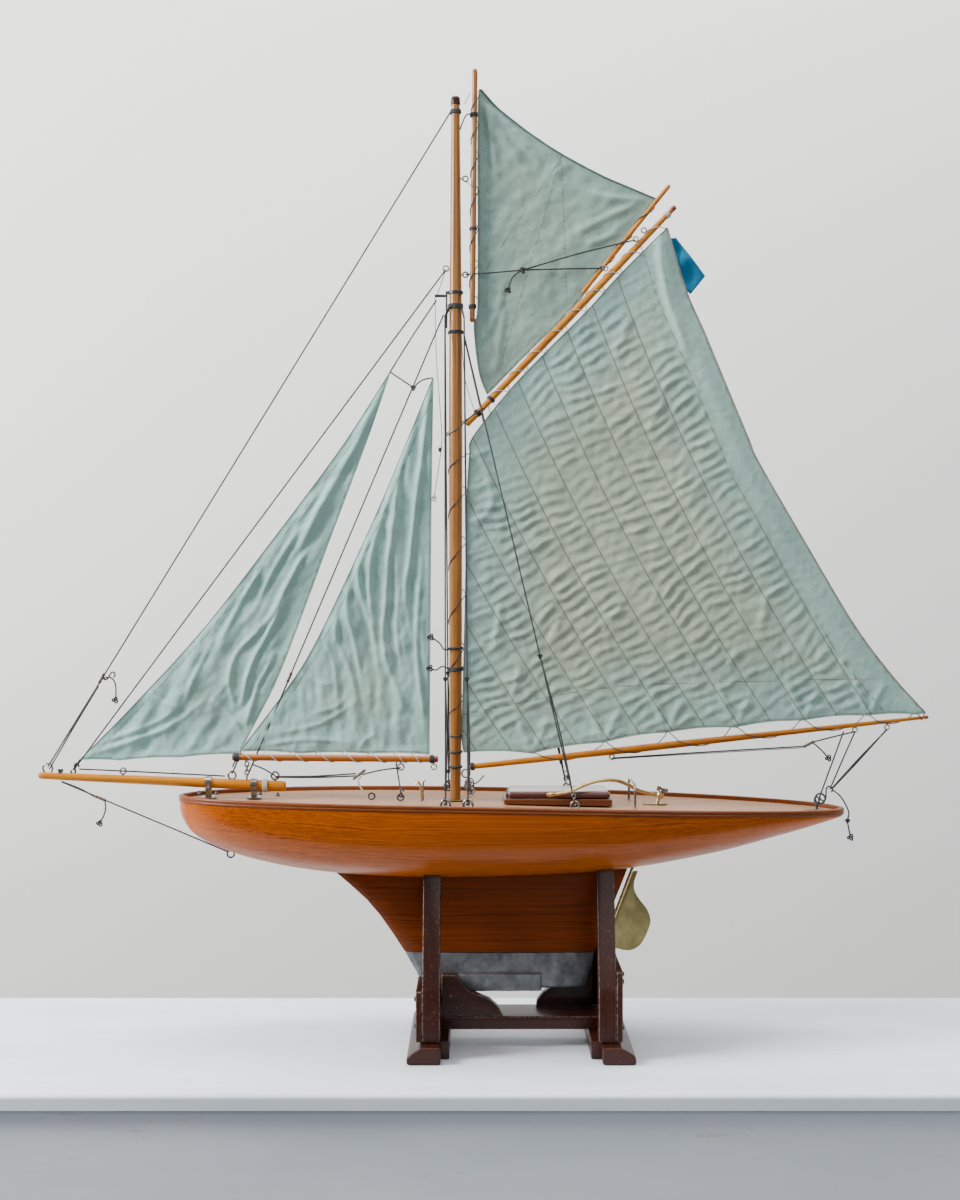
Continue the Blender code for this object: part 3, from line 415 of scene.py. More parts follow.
def line(name, points, body, radius=CORD, look=None, smooth_step=ROUTE_STEP, slot="rigging_cord",
         replaces=()):
    """A cord or wire as a curve object through its points."""
    curve = bpy.data.curves.new(name, "CURVE")
    curve.dimensions = "3D"
    curve.bevel_depth = radius
    curve.bevel_resolution = 2
    curve.use_fill_caps = True
    route = curve_through(points, smooth_step)
    run = curve.splines.new("POLY")
    run.points.add(len(route) - 1)
    for spot, point in zip(run.points, route):
        spot.co = (*point, 1.0)
    return add(name, curve, look or RIGGING, body, replaces)


def ring(name, centre, radius, wire, body, look=None, facing=(0, 1, 0), slot="nickel_fittings"):
    """A wire ring whose axis points along facing."""
    axis = Vector(facing).normalized()
    across = axis.orthogonal().normalized()
    up = axis.cross(across)
    loop = []
    for i in range(RING_SIDES):
        angle = 2 * math.pi * i / RING_SIDES + math.radians(70)
        loop.append(Vector(centre) + radius * (math.cos(angle) * across + math.sin(angle) * up))
    return swept(name, loop, wire, look or NICKEL, body, 8, slot, closed=True)


def spar(name, look, body, start, end, sizes, replaces, sides=28, slot="pine_spar"):
    """A round spar, planed by hand: its radius wavers a little and its ends are rounded."""
    start = Vector(start)
    end = Vector(end)
    along = (end - start).normalized()
    up = along.cross(SIDE)
    spans = [k / SPAR_SPANS for k in range(SPAR_SPANS + 1)]
    stations = sorted(set(spans + [s for s, _ in sizes] + [0.002, 0.005, 0.995, 0.998]))
    rings = []
    for share in stations:
        radius = float(np.interp(share, [s for s, _ in sizes], [r for _, r in sizes]))
        radius *= 1 + 0.012 * noise.noise(Vector((share * 40, start.x * 50, start.z * 20)))
        rim = min(share, 1 - share) * (end - start).length
        radius *= math.sqrt(min(1.0, 0.35 + rim / 0.003))
        centre = start.lerp(end, share)
        rings.append(circle(centre, radius, SIDE, up, sides))
    return mesh_piece(name, *rings_mesh(rings), look, body, slot, replaces)


def rounded_block(name, x, y, z, look, body, radius=0.001, replaces=(), slot=None, segments=3, profile=None):
    """A block with worn, rounded edges. profile, if given, is the outline in X and Z."""
    outline = profile or ((x[0], z[0]), (x[1], z[0]), (x[1], z[1]), (x[0], z[1]))
    rings = [[Vector((px, side, pz)) for px, pz in outline] for side in y]
    piece = mesh_piece(name, *rings_mesh(rings), look, body, slot, replaces, smooth=0)
    fix_normals(piece)
    edges = piece.modifiers.new("edges", "BEVEL")
    edges.width = radius
    edges.segments = segments
    edges.limit_method = "ANGLE"
    piece.data.shade_smooth()
    weighted = piece.modifiers.new("weighted", "WEIGHTED_NORMAL")
    weighted.keep_sharp = True
    return piece


def fix_normals(piece):
    """Turns every face outwards."""
    work = bmesh.new()
    work.from_mesh(piece.data)
    bmesh.ops.recalc_face_normals(work, faces=work.faces)
    work.to_mesh(piece.data)
    work.free()


def dress(node_name, look):
    """Gives a CAD node that stays visible its material."""
    piece = frame["nodes"][node_name]
    piece.data.materials.clear()
    piece.data.materials.append(look)
    return piece


def turned(name, start, along, profile, look, body, slot=None, sides=28):
    """A turned shape round the line from start in the direction along.
    profile is (distance, radius) pairs."""
    axis = Vector(along).normalized()
    across = axis.orthogonal().normalized()
    up = axis.cross(across)
    rings = []
    for distance, radius in profile:
        rings.append(circle(Vector(start) + distance * axis, radius, across, up, sides))
    return mesh_piece(name, *rings_mesh(rings), look, body, slot, smooth=35)


def washer(name, centre, axis, inner, outer, thickness, look, body, slot=None, squareness=0.0):
    """A flat ring, or a plate with a round hole when squareness is 1."""
    axis = Vector(axis).normalized()
    across = Vector((1, 0, 0)) if abs(axis.x) < 0.9 else Vector((0, 1, 0))
    across = (across - across.dot(axis) * axis).normalized()
    up = axis.cross(across)
    rings = []
    for distance, size, square in ((0, inner, 0), (0, outer, squareness),
                                   (thickness * 0.7, outer, squareness),
                                   (thickness, outer * 0.97, squareness), (thickness, inner, 0)):
        loop = []
        for k in range(WASHER_SIDES):
            angle = 2 * math.pi * k / WASHER_SIDES
            c = math.cos(angle)
            s = math.sin(angle)
            reach = size / max(abs(c), abs(s)) * square * 0.9 + size * (1 - square)
            loop.append(Vector(centre) + distance * axis + reach * (c * across + s * up))
        rings.append(loop)
    piece = mesh_piece(name, *rings_mesh(rings, closed_loop=True), look, body, slot, smooth=30)
    fix_normals(piece)
    return piece


def turns(name, centre, axis, radius, count, body, look=None, pitch=0.0012, wire=CORD):
    """Close turns of cord round a spar or round other cords."""
    axis = Vector(axis).normalized()
    side = axis.orthogonal().normalized()
    up = axis.cross(side)
    points = []
    for i in range(int(count * TURN_STEPS) + 1):
        angle = 2 * math.pi * i / TURN_STEPS
        middle = Vector(centre) + axis * pitch * (i / TURN_STEPS - count / 2)
        points.append(middle + radius * (math.cos(angle) * side + math.sin(angle) * up))
    return line(name, points, body, wire, look, 1.0)


def knot(name, centre, size, body, look=None, wire=CORD, turn=0.0):
    """A small overhand knot."""
    points = []
    for i in range(49):
        t = 2 * math.pi * i / 48 * 0.97
        x = math.sin(t) + 2 * math.sin(2 * t)
        y = math.cos(t) - 2 * math.cos(2 * t)
        z = -math.sin(3 * t)
        ahead = x * math.cos(turn) - y * math.sin(turn)
        above = x * math.sin(turn) + y * math.cos(turn)
        points.append(Vector(centre) + size / 3 * Vector((ahead, z * 1.1, above)))
    return line(name, points, body, wire, look, 1.0)


BOWSIE_WIDTH = 0.0045
# Shares of a slide's length, and of its width there.
BOWSIE_SHAPE = ((0.0, 0.35), (0.03, 0.62), (0.1, 0.86), (0.2, 0.95), (0.32, 0.8), (0.42, 0.88), (0.5, 1.0),
                (0.58, 0.88), (0.68, 0.8), (0.8, 0.95), (0.9, 0.86), (0.97, 0.62), (1.0, 0.35))


def bowsie(name, start, end, body):
    """A small wooden slide for setting up a cord, thick in the middle, with a ring at each hole."""
    start = Vector(start)
    end = Vector(end)
    reach = (end - start).length
    along = (end - start) / reach
    profile = [(reach * share, BOWSIE_WIDTH / 2 * width) for share, width in BOWSIE_SHAPE]
    turned(name, start, along, profile, BOWSIE, body, "hatch_wood", sides=20)
    across = along.cross(SIDE).normalized()
    for share, label in ((0.2, "a"), (0.8, "b")):
        turns(f"{name}_hole_{label}", start.lerp(end, share), across, BOWSIE_WIDTH * 0.42, 1.5, body,
              wire=CORD * 0.8, pitch=CORD)


# Shares of a hook's length, and how far the wire stands out there as a share of its length.
HOOK_SHAPE = ((0.78, -0.21), (0.9, -0.238), (1.0, -0.126), (1.04, 0.014), (0.98, 0.14), (0.84, 0.182),
              (0.66, 0.112), (0.5, 0.0), (0.34, -0.112), (0.16, -0.182), (0.02, -0.14), (-0.04, -0.014),
              (0.0, 0.126), (0.1, 0.238), (0.22, 0.21))


def hook(name, top, bottom, body, wire=WIRE):
    """An S shaped wire hook between two points."""
    top = Vector(top)
    bottom = Vector(bottom)
    reach = (top - bottom).length
    up = (top - bottom) / reach
    side = up.cross(SIDE).normalized()
    points = [bottom + up * reach * share + side * reach * out for share, out in HOOK_SHAPE]
    return swept(name, curve_through(points, reach * 0.06), wire, IRON, body, 10, "dark_iron")


def eye_and_shank(name, foot, centre, radius, wire, body, look=None, facing=(0, 1, 0),
                  slot="nickel_fittings"):
    """A screw eye: its ring, its shank and a small collar where it enters the wood."""
    ring(name, centre, radius, wire, body, look, facing, slot)
    toward = Vector(centre) - Vector(foot)
    length = toward.length - radius + wire * 0.4
    profile = ((0, wire * 1.0), (0.0, wire * 2.0), (0.0005, wire * 2.0), (0.0008, wire * 1.15),
               (length * 0.6, wire * 1.0), (length, wire * 1.3))
    turned(f"{name}_shank", foot, toward, profile, look or NICKEL, body, slot, sides=14)


def chain(name, start, end, links, body, width, wire):
    """Oval links, each turned a quarter from the last."""
    start = Vector(start)
    end = Vector(end)
    along = (end - start).normalized()
    pitch = (end - start).length / links
    for index in range(links):
        centre = start + along * pitch * (index + 0.5)
        side = along.cross(SIDE).normalized()
        if index % 2:
            side = along.cross(side).normalized()
        loop = [centre + along * pitch * 0.68 * math.cos(t) + side * width / 2 * math.sin(t)
                for t in (2 * math.pi * k / 18 for k in range(18))]
        swept(f"{name}_{index}", loop, wire, NICKEL, body, 8, "nickel_fittings", closed=True)


def soften(node_name, look, width, edge_look=None):
    """The CAD node again, its flat faces merged and its edges worn round by a bevel."""
    source = frame["nodes"][node_name]
    body = next(key for key, parts in frame["record"]["behaviour"]["bodies"].items() if node_name in parts)
    mesh = source.data.copy()
    mesh.materials.clear()
    work = bmesh.new()
    work.from_mesh(mesh)
    bmesh.ops.remove_doubles(work, verts=work.verts, dist=0.00001)
    bmesh.ops.dissolve_limit(work, angle_limit=math.radians(1.0), verts=work.verts, edges=work.edges)
    work.to_mesh(mesh)
    work.free()
    piece = add(f"{node_name}_finish", mesh, look, body, (node_name,))
    edges = piece.modifiers.new("edges", "BEVEL")
    edges.width = width
    edges.segments = 3
    edges.limit_method = "ANGLE"
    edges.angle_limit = math.radians(30)
    edges.use_clamp_overlap = True
    if edge_look:
        mesh.materials.append(edge_look)
        edges.material = 1
    mesh.shade_smooth()
    mesh.set_sharp_from_angle(angle=math.radians(60))
    return piece


def roughened(piece, amount, scale):
    """Moves a piece's points along their normals by noise, for cast or hand worked surfaces."""
    mesh = piece.data
    for vertex in mesh.vertices:
        height = noise.fractal(vertex.co * scale, 0.9, 2.1, 3)
        vertex.co += vertex.normal * amount * height
    return piece




# ---------------------------------------------------------------- sails

def resample(points, step):
    """Points every step along straight runs, with the corners kept."""
    out = []
    for a, b in zip(points, points[1:]):
        count = max(1, round(math.dist(a, b) / step))
        out += [(a[0] + (b[0] - a[0]) * k / count, a[1] + (b[1] - a[1]) * k / count) for k in range(count)]
    return out + [tuple(points[-1])]


def smooth_run(points, step):
    """A smooth plane curve through points."""
    return [(p.x, p.z) for p in curve_through([(x, 0.0, z) for x, z in points], step)]


def from_run(x, z, run):
    """Distance from a run, and the share along it.
    The distance is positive to the right of the way the run goes."""
    best = np.full(x.shape, 1e9)
    signed = np.zeros(x.shape)
    share = np.zeros(x.shape)
    lengths = [math.dist(a, b) for a, b in zip(run, run[1:])]
    total = sum(lengths)
    covered = 0.0
    for (ax, az), (bx, bz), length in zip(run, run[1:], lengths):
        if length == 0:
            continue
        ux, uz = (bx - ax) / length, (bz - az) / length
        along = np.clip((x - ax) * ux + (z - az) * uz, 0.0, length)
        dx = x - (ax + ux * along)
        dz = z - (az + uz * along)
        distance = np.hypot(dx, dz)
        nearer = distance < best
        best = np.where(nearer, distance, best)
        signed = np.where(nearer, distance * np.sign(dx * uz - dz * ux), signed)
        share = np.where(nearer, (covered + along) / total, share)
        covered += length
    return signed, share


def crest(x, z, run, height, left, right=None):
    """A fold: a ridge along a run, with its own width on each side, which fades at both ends."""
    away, share = from_run(x, z, smooth_run(run, 0.004))
    width = np.where(away > 0, right or left, left)
    rise = np.clip(share / 0.22, 0, 1) * np.clip((1 - share) / 0.3, 0, 1)
    return height * np.exp(-(away / width) ** 2) * rise ** 0.7


def smoothstep(low, high, value):
    """0 at low, 1 at high, and an easy slope between."""
    t = np.clip((value - low) / (high - low), 0.0, 1.0)
    return t * t * (3 - 2 * t)


def ripple(x, z, scale, seed):
    """Smooth noise over the cloth, from -1 to 1."""
    return np.array([noise.noise(Vector((a * scale, b * scale, seed))) for a, b in zip(x, z)])


def inside(x, z, loop):
    """Whether each point lies inside a closed outline."""
    found = np.zeros(x.shape, dtype=bool)
    for (ax, az), (bx, bz) in zip(loop, loop[1:] + loop[:1]):
        crosses = (az > z) != (bz > z)
        with np.errstate(divide="ignore", invalid="ignore"):
            reach = (bx - ax) * (z - az) / (bz - az) + ax
        found ^= crosses & (x < reach)
    return found


# Shares of the sheet's step: along an edge, between rows, and between the edge and the first inner point.
EDGE_STEP = 0.9
ROW_STEP = 0.866
EDGE_GAP = 0.55


class Sail:
    """One sail: its edges in X and Z, the depth of each fold, and the fine sheet made from them."""

    def __init__(self, name, edges, side, relief, step):
        self.name = name
        self.side = side
        self.relief = relief
        self.edges = {key: resample(run, step * EDGE_STEP) for key, run in edges.items()}
        loop = []
        for run in self.edges.values():
            loop += run[:-1]
        self.loop = loop
        self.step = step

    def depth(self, x, z):
        """How far each point lies to starboard of the middle plane."""
        x = np.asarray(x, dtype=float)
        z = np.asarray(z, dtype=float)
        away, _ = from_run(x, z, self.loop + self.loop[:1])
        return self.side + self.relief(x, z, np.abs(away))

    def make(self, look, body, replaces, panel, thickness):
        """A fine sheet inside the outline, with its folds, its seam and hem UVs and its thickness."""
        loop = np.array(self.loop)
        rows = np.arange(loop[:, 1].min(), loop[:, 1].max(), self.step * ROW_STEP)
        grid = []
        for i, height in enumerate(rows):
            start = loop[:, 0].min() + (self.step / 2 if i % 2 else 0.0)
            grid += [(across, height) for across in np.arange(start, loop[:, 0].max(), self.step)]
        grid = np.array(grid)
        grid = grid[inside(grid[:, 0], grid[:, 1], self.loop)]
        away, _ = from_run(grid[:, 0], grid[:, 1], self.loop + self.loop[:1])
        grid = grid[np.abs(away) > self.step * EDGE_GAP]
        flat = [Vector(p) for p in self.loop] + [Vector(p) for p in grid.tolist()]
        border = [(i, (i + 1) % len(self.loop)) for i in range(len(self.loop))]
        spots, _, faces, *_ = delaunay_2d_cdt(flat, border, [], 1, 1e-7)
        x = np.array([p.x for p in spots])
        z = np.array([p.y for p in spots])
        y = self.depth(x, z)
        mesh = bpy.data.meshes.new(self.name)
        mesh.from_pydata(np.stack([x, y, z], axis=1).tolist(), [], [tuple(f) for f in faces])
        away, _ = from_run(x, z, self.loop + self.loop[:1])
        seams = panel(x, z)
        for name, pair in (("panel", seams), ("rim", (np.abs(away), np.zeros(x.shape)))):
            layer = mesh.uv_layers.new(name=name)
            corners = np.empty(len(mesh.loops), dtype=np.int32)
            mesh.loops.foreach_get("vertex_index", corners)
            layer.data.foreach_set("uv", np.stack([pair[0][corners], pair[1][corners]], axis=1).ravel())
        mesh.shade_smooth()
        piece = add(f"{self.name}_cloth", mesh, look, body, replaces)
        sheet = piece.modifiers.new("cloth", "SOLIDIFY")
        sheet.thickness = thickness
        sheet.offset = 0.0
        return piece

    def flat_area(self):
        """The area inside the sail's outline."""
        pairs = zip(self.loop, self.loop[1:] + self.loop[:1])
        return abs(sum(ax * bz - bx * az for (ax, az), (bx, bz) in pairs)) / 2

    def on_edge(self, key):
        """The edge's points on the cloth."""
        run = self.edges[key]
        depth = self.depth([p[0] for p in run], [p[1] for p in run])
        return [Vector((px, d, pz)) for (px, pz), d in zip(run, depth)]

    def hem(self, key, radius, look, body):
        """A rolled hem or bolt rope along one edge."""
        route = self.on_edge(key)
        size = [radius * (1 + 0.1 * noise.noise(p * 160)) for p in route]
        return swept(f"{self.name}_hem_{key}", route, size, look, body, 8, "rigging_cord")


MAIN_LEECH = ((0.6007, 0.4463), (0.5571, 0.4952), (0.5047, 0.5653), (0.4401, 0.6735), (0.3748, 0.7864),
              (0.3612, 0.8177), (0.3272, 0.8993), (0.3014, 0.9619), (0.2755, 1.0218), (0.2497, 1.1061))
MAIN_HEAD = ((0.2497, 1.1061), (0.1871, 1.0442), (0.1408, 0.9932), (0.085, 0.9374), (0.0347, 0.8843),
             (-0.0143, 0.8218), (-0.0184, 0.8014))
MAIN_LUFF = ((-0.0184, 0.8014), (-0.0211, 0.7633), (-0.0231, 0.6816), (-0.0252, 0.5728), (-0.0279, 0.4639),
             (-0.0293, 0.4163), (-0.0265, 0.3932))
MAIN_FOOT = ((-0.0265, 0.3932), (0.066, 0.3918), (0.1639, 0.4068), (0.2497, 0.4204), (0.3422, 0.4272),
             (0.4347, 0.4367), (0.5231, 0.4435), (0.5911, 0.4449), (0.6007, 0.4463))
TABLING = 0.04
FOOT_BAND = ((-0.03, 0.444), (-0.0116, 0.4476), (0.1653, 0.4803), (0.3558, 0.4888), (0.57, 0.494))


SCALLOP_STEPS = 10


def scalloped(points, rise):
    """An edge held at points and lifted a little between them."""
    out = []
    for (ax, az), (bx, bz) in zip(points, points[1:]):
        height = rise * min(1.0, math.dist((ax, az), (bx, bz)) / 0.09)
        count = SCALLOP_STEPS
        out += [(ax + (bx - ax) * k / count, az + (bz - az) * k / count
                 + height * math.sin(math.pi * k / count)) for k in range(count)]
    return out + [points[-1]]


def main_seam(z):
    """X of the main seam at a height: the other seams run beside it, a panel's width apart."""
    drop = 1.0354 - z
    return 0.1834 + 0.3523 * drop + 0.2529 * drop * drop


def main_panel(x, z):
    """Where the mainsail's seams run: its panels, its foot band and the tabling inside its leech."""
    away, _ = from_run(x, z, smooth_run(FOOT_BAND, 0.01))
    leech, _ = from_run(x, z, smooth_run(MAIN_LEECH, 0.01))
    lines = np.minimum(np.abs(away), np.abs(np.abs(leech) - TABLING))
    seam = (x - main_seam(z)) / PANEL
    seam = np.where(np.abs(leech) < TABLING, 0.5, seam)
    return seam, lines


MAIN_FOLDS = (
    (((0.241, 1.096), (0.24, 1.065), (0.251, 1.006), (0.263, 0.974), (0.279, 0.929)), -0.006, 0.0075, 0.0045),
    (((-0.012, 0.811), (0.007, 0.766), (0.011, 0.725)), -0.003, 0.007, 0.005),
    (((0.022, 0.6), (0.02, 0.571), (0.011, 0.525)), -0.0028, 0.0055, 0.004),
    (((0.05, 0.512), (0.038, 0.462)), -0.0026, 0.005, 0.004),
    (((0.106, 0.58), (0.088, 0.539)), -0.0026, 0.005, 0.004),
    (((0.387, 0.61), (0.383, 0.598), (0.376, 0.552)), -0.0026, 0.006, 0.0045),
    (((0.238, 0.62), (0.229, 0.593)), -0.002, 0.005, 0.004),
    (((0.045, 0.65), (0.07, 0.68), (0.08, 0.695)), -0.002, 0.005, 0.004),
    (((-0.02, 0.69), (0.006, 0.72), (0.018, 0.75)), -0.0018, 0.006, 0.005),
    (((0.16, 0.556), (0.185, 0.59), (0.195, 0.602)), -0.002, 0.0045, 0.004),
    (((0.07, 0.56), (0.098, 0.6), (0.11, 0.62)), -0.002, 0.005, 0.004),
    (((0.275, 0.73), (0.3, 0.765)), -0.0018, 0.005, 0.004),
    (((0.22, 0.825), (0.24, 0.86), (0.245, 0.88)), -0.0018, 0.006, 0.0045),
    (((0.175, 0.93), (0.195, 0.97), (0.2, 0.99)), -0.002, 0.006, 0.0045),
    (((0.29, 0.665), (0.32, 0.7)), -0.0018, 0.005, 0.004),
    (((0.42, 0.515), (0.445, 0.545)), -0.0018, 0.006, 0.0045),
    (((0.33, 0.51), (0.348, 0.535)), -0.0016, 0.0055, 0.0045),
)


def main_relief(x, z, rim):
    """The mainsail's shape: short puckers across each panel, longer folds and the pull of each lacing."""
    panel = (x - main_seam(z)) / PANEL
    number = np.floor(panel)
    share = panel - number
    slope = math.radians(27)
    wander = ripple(x, z, 21.0, 1.3)
    strength = ripple(x, z, 12.0, 7.1)
    tilt = slope + 0.35 * ripple(x, z, 9.0, 4.7)
    along = z * np.cos(slope) - x * np.sin(slope) + (share - 0.5) * PANEL * (slope - tilt)
    offset = np.array([noise.noise(Vector((n * 3.7, 0.5, 0.2))) for n in number])
    along += 0.0042 * ripple(x, z, 47.0, 8.8)
    phase = 2 * math.pi * (along / 0.015 + 0.5 * wander + 3.0 * offset)
    wave = (0.5 + 0.5 * np.sin(phase + 0.7 * np.sin(phase))) ** 1.5
    pucker = ripple(number * 3.3, np.floor(phase / (2 * math.pi) + 0.25) * 2.1, 1.0, 3.3)
    leech, _ = from_run(x, z, smooth_run(MAIN_LEECH, 0.01))
    leech = np.abs(leech)
    calm = smoothstep(0.03, 0.046, leech)
    calm *= 1 - 0.85 * smoothstep(0.7, 0.8, z) * smoothstep(0.1, 0.03, x)
    calm *= 1 - 0.65 * smoothstep(0.96, 1.03, z)
    calm *= smoothstep(0.002, 0.014, rim)
    height = np.clip(0.8 + 0.55 * strength + 1.1 * pucker * wave, 0.12, 1.45)
    skewed = np.clip(share + 0.3 * pucker * np.sin(math.pi * share), 0, 1)
    y = -0.00285 * height * calm * wave * np.sin(math.pi * skewed) ** 0.6
    y += 0.00018 * np.cos(2 * math.pi * share)
    y += -0.0011 * calm * ripple(x, z, 75.0, 2.2) - 0.00055 * ripple(x, z, 150.0, 5.2)
    y += 0.0022 * ripple(x, z, 6.0, 9.4) * smoothstep(0.0, 0.03, rim)
    y += -0.0016 * np.exp(-((leech - 0.02) / 0.01) ** 2)
    for run, depth, left, right in MAIN_FOLDS:
        y += crest(x, z, run, depth * 0.9, left, right)
    for (ax, az) in MAIN_FOOT[1:-1]:
        for angle, reach, depth in ((112, 0.062, -0.0026), (64, 0.052, -0.0022), (150, 0.036, -0.0014),
                                    (30, 0.036, -0.0014)):
            tip = (ax + reach * math.cos(math.radians(angle)), az + reach * math.sin(math.radians(angle)))
            y += crest(x, z, ((ax, az), ((ax + tip[0]) / 2, (az + tip[1]) / 2), tip), depth, 0.0042)
    for index in range(9):
        az = 0.44 + index * 0.044
        y += crest(x, z, ((-0.0268, az), (-0.01, az + 0.006), (0.012, az + 0.014)), -0.0018, 0.0036)
    return y


JIB_LUFF = ((-0.1272, 0.9102), (-0.1939, 0.8068), (-0.2932, 0.6735), (-0.3857, 0.5551), (-0.485, 0.4476),
            (-0.549, 0.383))
JIB_FOOT = ((-0.549, 0.383), (-0.4945, 0.3823), (-0.4129, 0.3864), (-0.3313, 0.391))
JIB_LEECH = ((-0.3313, 0.391), (-0.3204, 0.415), (-0.2823, 0.4898), (-0.2483, 0.5769), (-0.2102, 0.6803),
             (-0.1558, 0.8258), (-0.1272, 0.9102))
JIB_FOLDS = (
    (((-0.131, 0.898), (-0.15, 0.858), (-0.182, 0.795), (-0.229, 0.713), (-0.255, 0.656)), -0.0062, 0.008,
     0.013),
    (((-0.25, 0.698), (-0.263, 0.677), (-0.29, 0.632), (-0.31, 0.59)), -0.005, 0.0055, 0.007),
    (((-0.235, 0.672), (-0.245, 0.659), (-0.268, 0.618), (-0.286, 0.582), (-0.315, 0.548)), -0.0058, 0.005,
     0.008),
    (((-0.3, 0.65), (-0.309, 0.632), (-0.336, 0.586), (-0.356, 0.545)), -0.0038, 0.005, 0.006),
    (((-0.3, 0.57), (-0.309, 0.555), (-0.336, 0.527), (-0.345, 0.491), (-0.338, 0.45)), -0.004, 0.0045,
     0.006),
    (((-0.26, 0.615), (-0.272, 0.595), (-0.295, 0.55), (-0.318, 0.505), (-0.329, 0.45)), -0.0056, 0.005,
     0.0075),
    (((-0.284, 0.53), (-0.29, 0.514), (-0.309, 0.478), (-0.324, 0.42)), -0.0044, 0.0045, 0.0065),
    (((-0.542, 0.388), (-0.472, 0.41), (-0.427, 0.428), (-0.38, 0.464)), -0.004, 0.006, 0.005),
    (((-0.525, 0.404), (-0.449, 0.432), (-0.405, 0.46)), -0.0024, 0.005, 0.004),
    (((-0.364, 0.55), (-0.372, 0.537), (-0.395, 0.491), (-0.406, 0.456)), -0.003, 0.0045, 0.0055),
    (((-0.324, 0.41), (-0.342, 0.44), (-0.37, 0.465)), -0.0026, 0.0045, 0.0045),
    (((-0.37, 0.57), (-0.395, 0.535)), -0.0018, 0.005, 0.005),
    (((-0.46, 0.472), (-0.425, 0.456), (-0.395, 0.452)), -0.0018, 0.005, 0.0045),
    (((-0.21, 0.77), (-0.24, 0.725), (-0.26, 0.705)), -0.0028, 0.0045, 0.005),
)


def jib_relief(x, z, rim):
    """The jib's folds, which fan out from its head and clew, with creases along the leech."""
    y = 0.0034 * ripple(x, z, 9.0, 3.3) - 0.0018 * ripple(x, z, 34.0, 8.3)
    y -= 0.00045 * ripple(x, z, 130.0, 5.0)
    down = x * 0.55 + z * 0.835
    across = x * 0.835 - z * 0.55
    y += -0.0034 * ripple(down * 0.22, across, 62.0, 4.9) - 0.0013 * ripple(down * 0.45, across, 120.0, 7.7)
    for run, depth, left, right in JIB_FOLDS:
        y += crest(x, z, run, depth * 0.9, left * 0.58, right * 0.56)
    return y * smoothstep(-0.002, 0.013, rim)


def head_panel(luff):
    """A headsail has no panel seams, and its tabling is stitched down beside the luff."""
    def panel(x, z):
        away, _ = from_run(x, z, luff)
        return np.full(x.shape, 0.5), np.abs(np.abs(away) - 0.009)
    return panel


STAY_LUFF = ((-0.0687, 0.902), (-0.1367, 0.7374), (-0.1939, 0.6122), (-0.232, 0.535), (-0.2673, 0.4789),
             (-0.3313, 0.3946))
STAY_FOOT = ((-0.3313, 0.3946), (-0.2497, 0.3918), (-0.1544, 0.3918), (-0.0741, 0.3905))
STAY_LEECH = ((-0.0741, 0.3905), (-0.0728, 0.5728), (-0.0714, 0.736), (-0.0687, 0.902))
STAY_FOLDS = (
    (((-0.0725, 0.895), (-0.082, 0.809), (-0.093, 0.722), (-0.1, 0.659), (-0.105, 0.605), (-0.095, 0.54)),
     -0.006, 0.005, 0.0065),
    (((-0.075, 0.882), (-0.109, 0.795), (-0.12, 0.722), (-0.129, 0.659), (-0.132, 0.605), (-0.136, 0.55),
      (-0.127, 0.505), (-0.103, 0.436)), -0.0056, 0.0055, 0.007),
    (((-0.104, 0.815), (-0.136, 0.718), (-0.152, 0.659), (-0.154, 0.6), (-0.141, 0.51)), -0.0048, 0.005,
     0.0065),
    (((-0.136, 0.728), (-0.168, 0.65), (-0.165, 0.605), (-0.152, 0.559), (-0.142, 0.495)), -0.004, 0.0048,
     0.006),
    (((-0.17, 0.648), (-0.186, 0.595), (-0.177, 0.55), (-0.168, 0.505), (-0.161, 0.456)), -0.0034, 0.0045,
     0.0055),
    (((-0.198, 0.6), (-0.2, 0.55), (-0.182, 0.505), (-0.171, 0.456)), -0.0028, 0.0045, 0.0055),
    (((-0.222, 0.56), (-0.204, 0.514), (-0.198, 0.468)), -0.0024, 0.0045, 0.005),
    (((-0.084, 0.66), (-0.091, 0.55), (-0.086, 0.482), (-0.0765, 0.422)), -0.0042, 0.0042, 0.0055),
    (((-0.285, 0.418), (-0.222, 0.432), (-0.17, 0.464)), -0.0022, 0.005, 0.0042),
    (((-0.316, 0.3985), (-0.245, 0.41), (-0.175, 0.406)), -0.0024, 0.005, 0.004),
    (((-0.235, 0.445), (-0.2, 0.455), (-0.185, 0.475)), -0.0018, 0.005, 0.0045),
    (((-0.25, 0.5), (-0.22, 0.485), (-0.2, 0.49)), -0.0016, 0.005, 0.0045),
    (((-0.17, 0.396), (-0.16, 0.41), (-0.145, 0.418)), -0.0018, 0.0035, 0.0035),
    (((-0.115, 0.62), (-0.118, 0.56), (-0.11, 0.5)), -0.0028, 0.004, 0.005),
)


def stay_relief(x, z, rim):
    """The staysail's folds, nearly upright, and flatter cloth along its foot."""
    y = 0.0024 * ripple(x, z, 10.0, 6.6) - 0.0016 * ripple(x, z, 36.0, 2.9)
    y -= 0.0004 * ripple(x, z, 130.0, 1.5)
    y += -0.003 * ripple(z * 0.2, x + 0.1 * z, 66.0, 3.1) - 0.0012 * ripple(z * 0.45, x, 125.0, 9.2)
    for run, depth, left, right in STAY_FOLDS:
        y += crest(x, z, run, depth * 0.82, left * 0.6, right * 0.58)
    return y * smoothstep(-0.002, 0.011, rim)


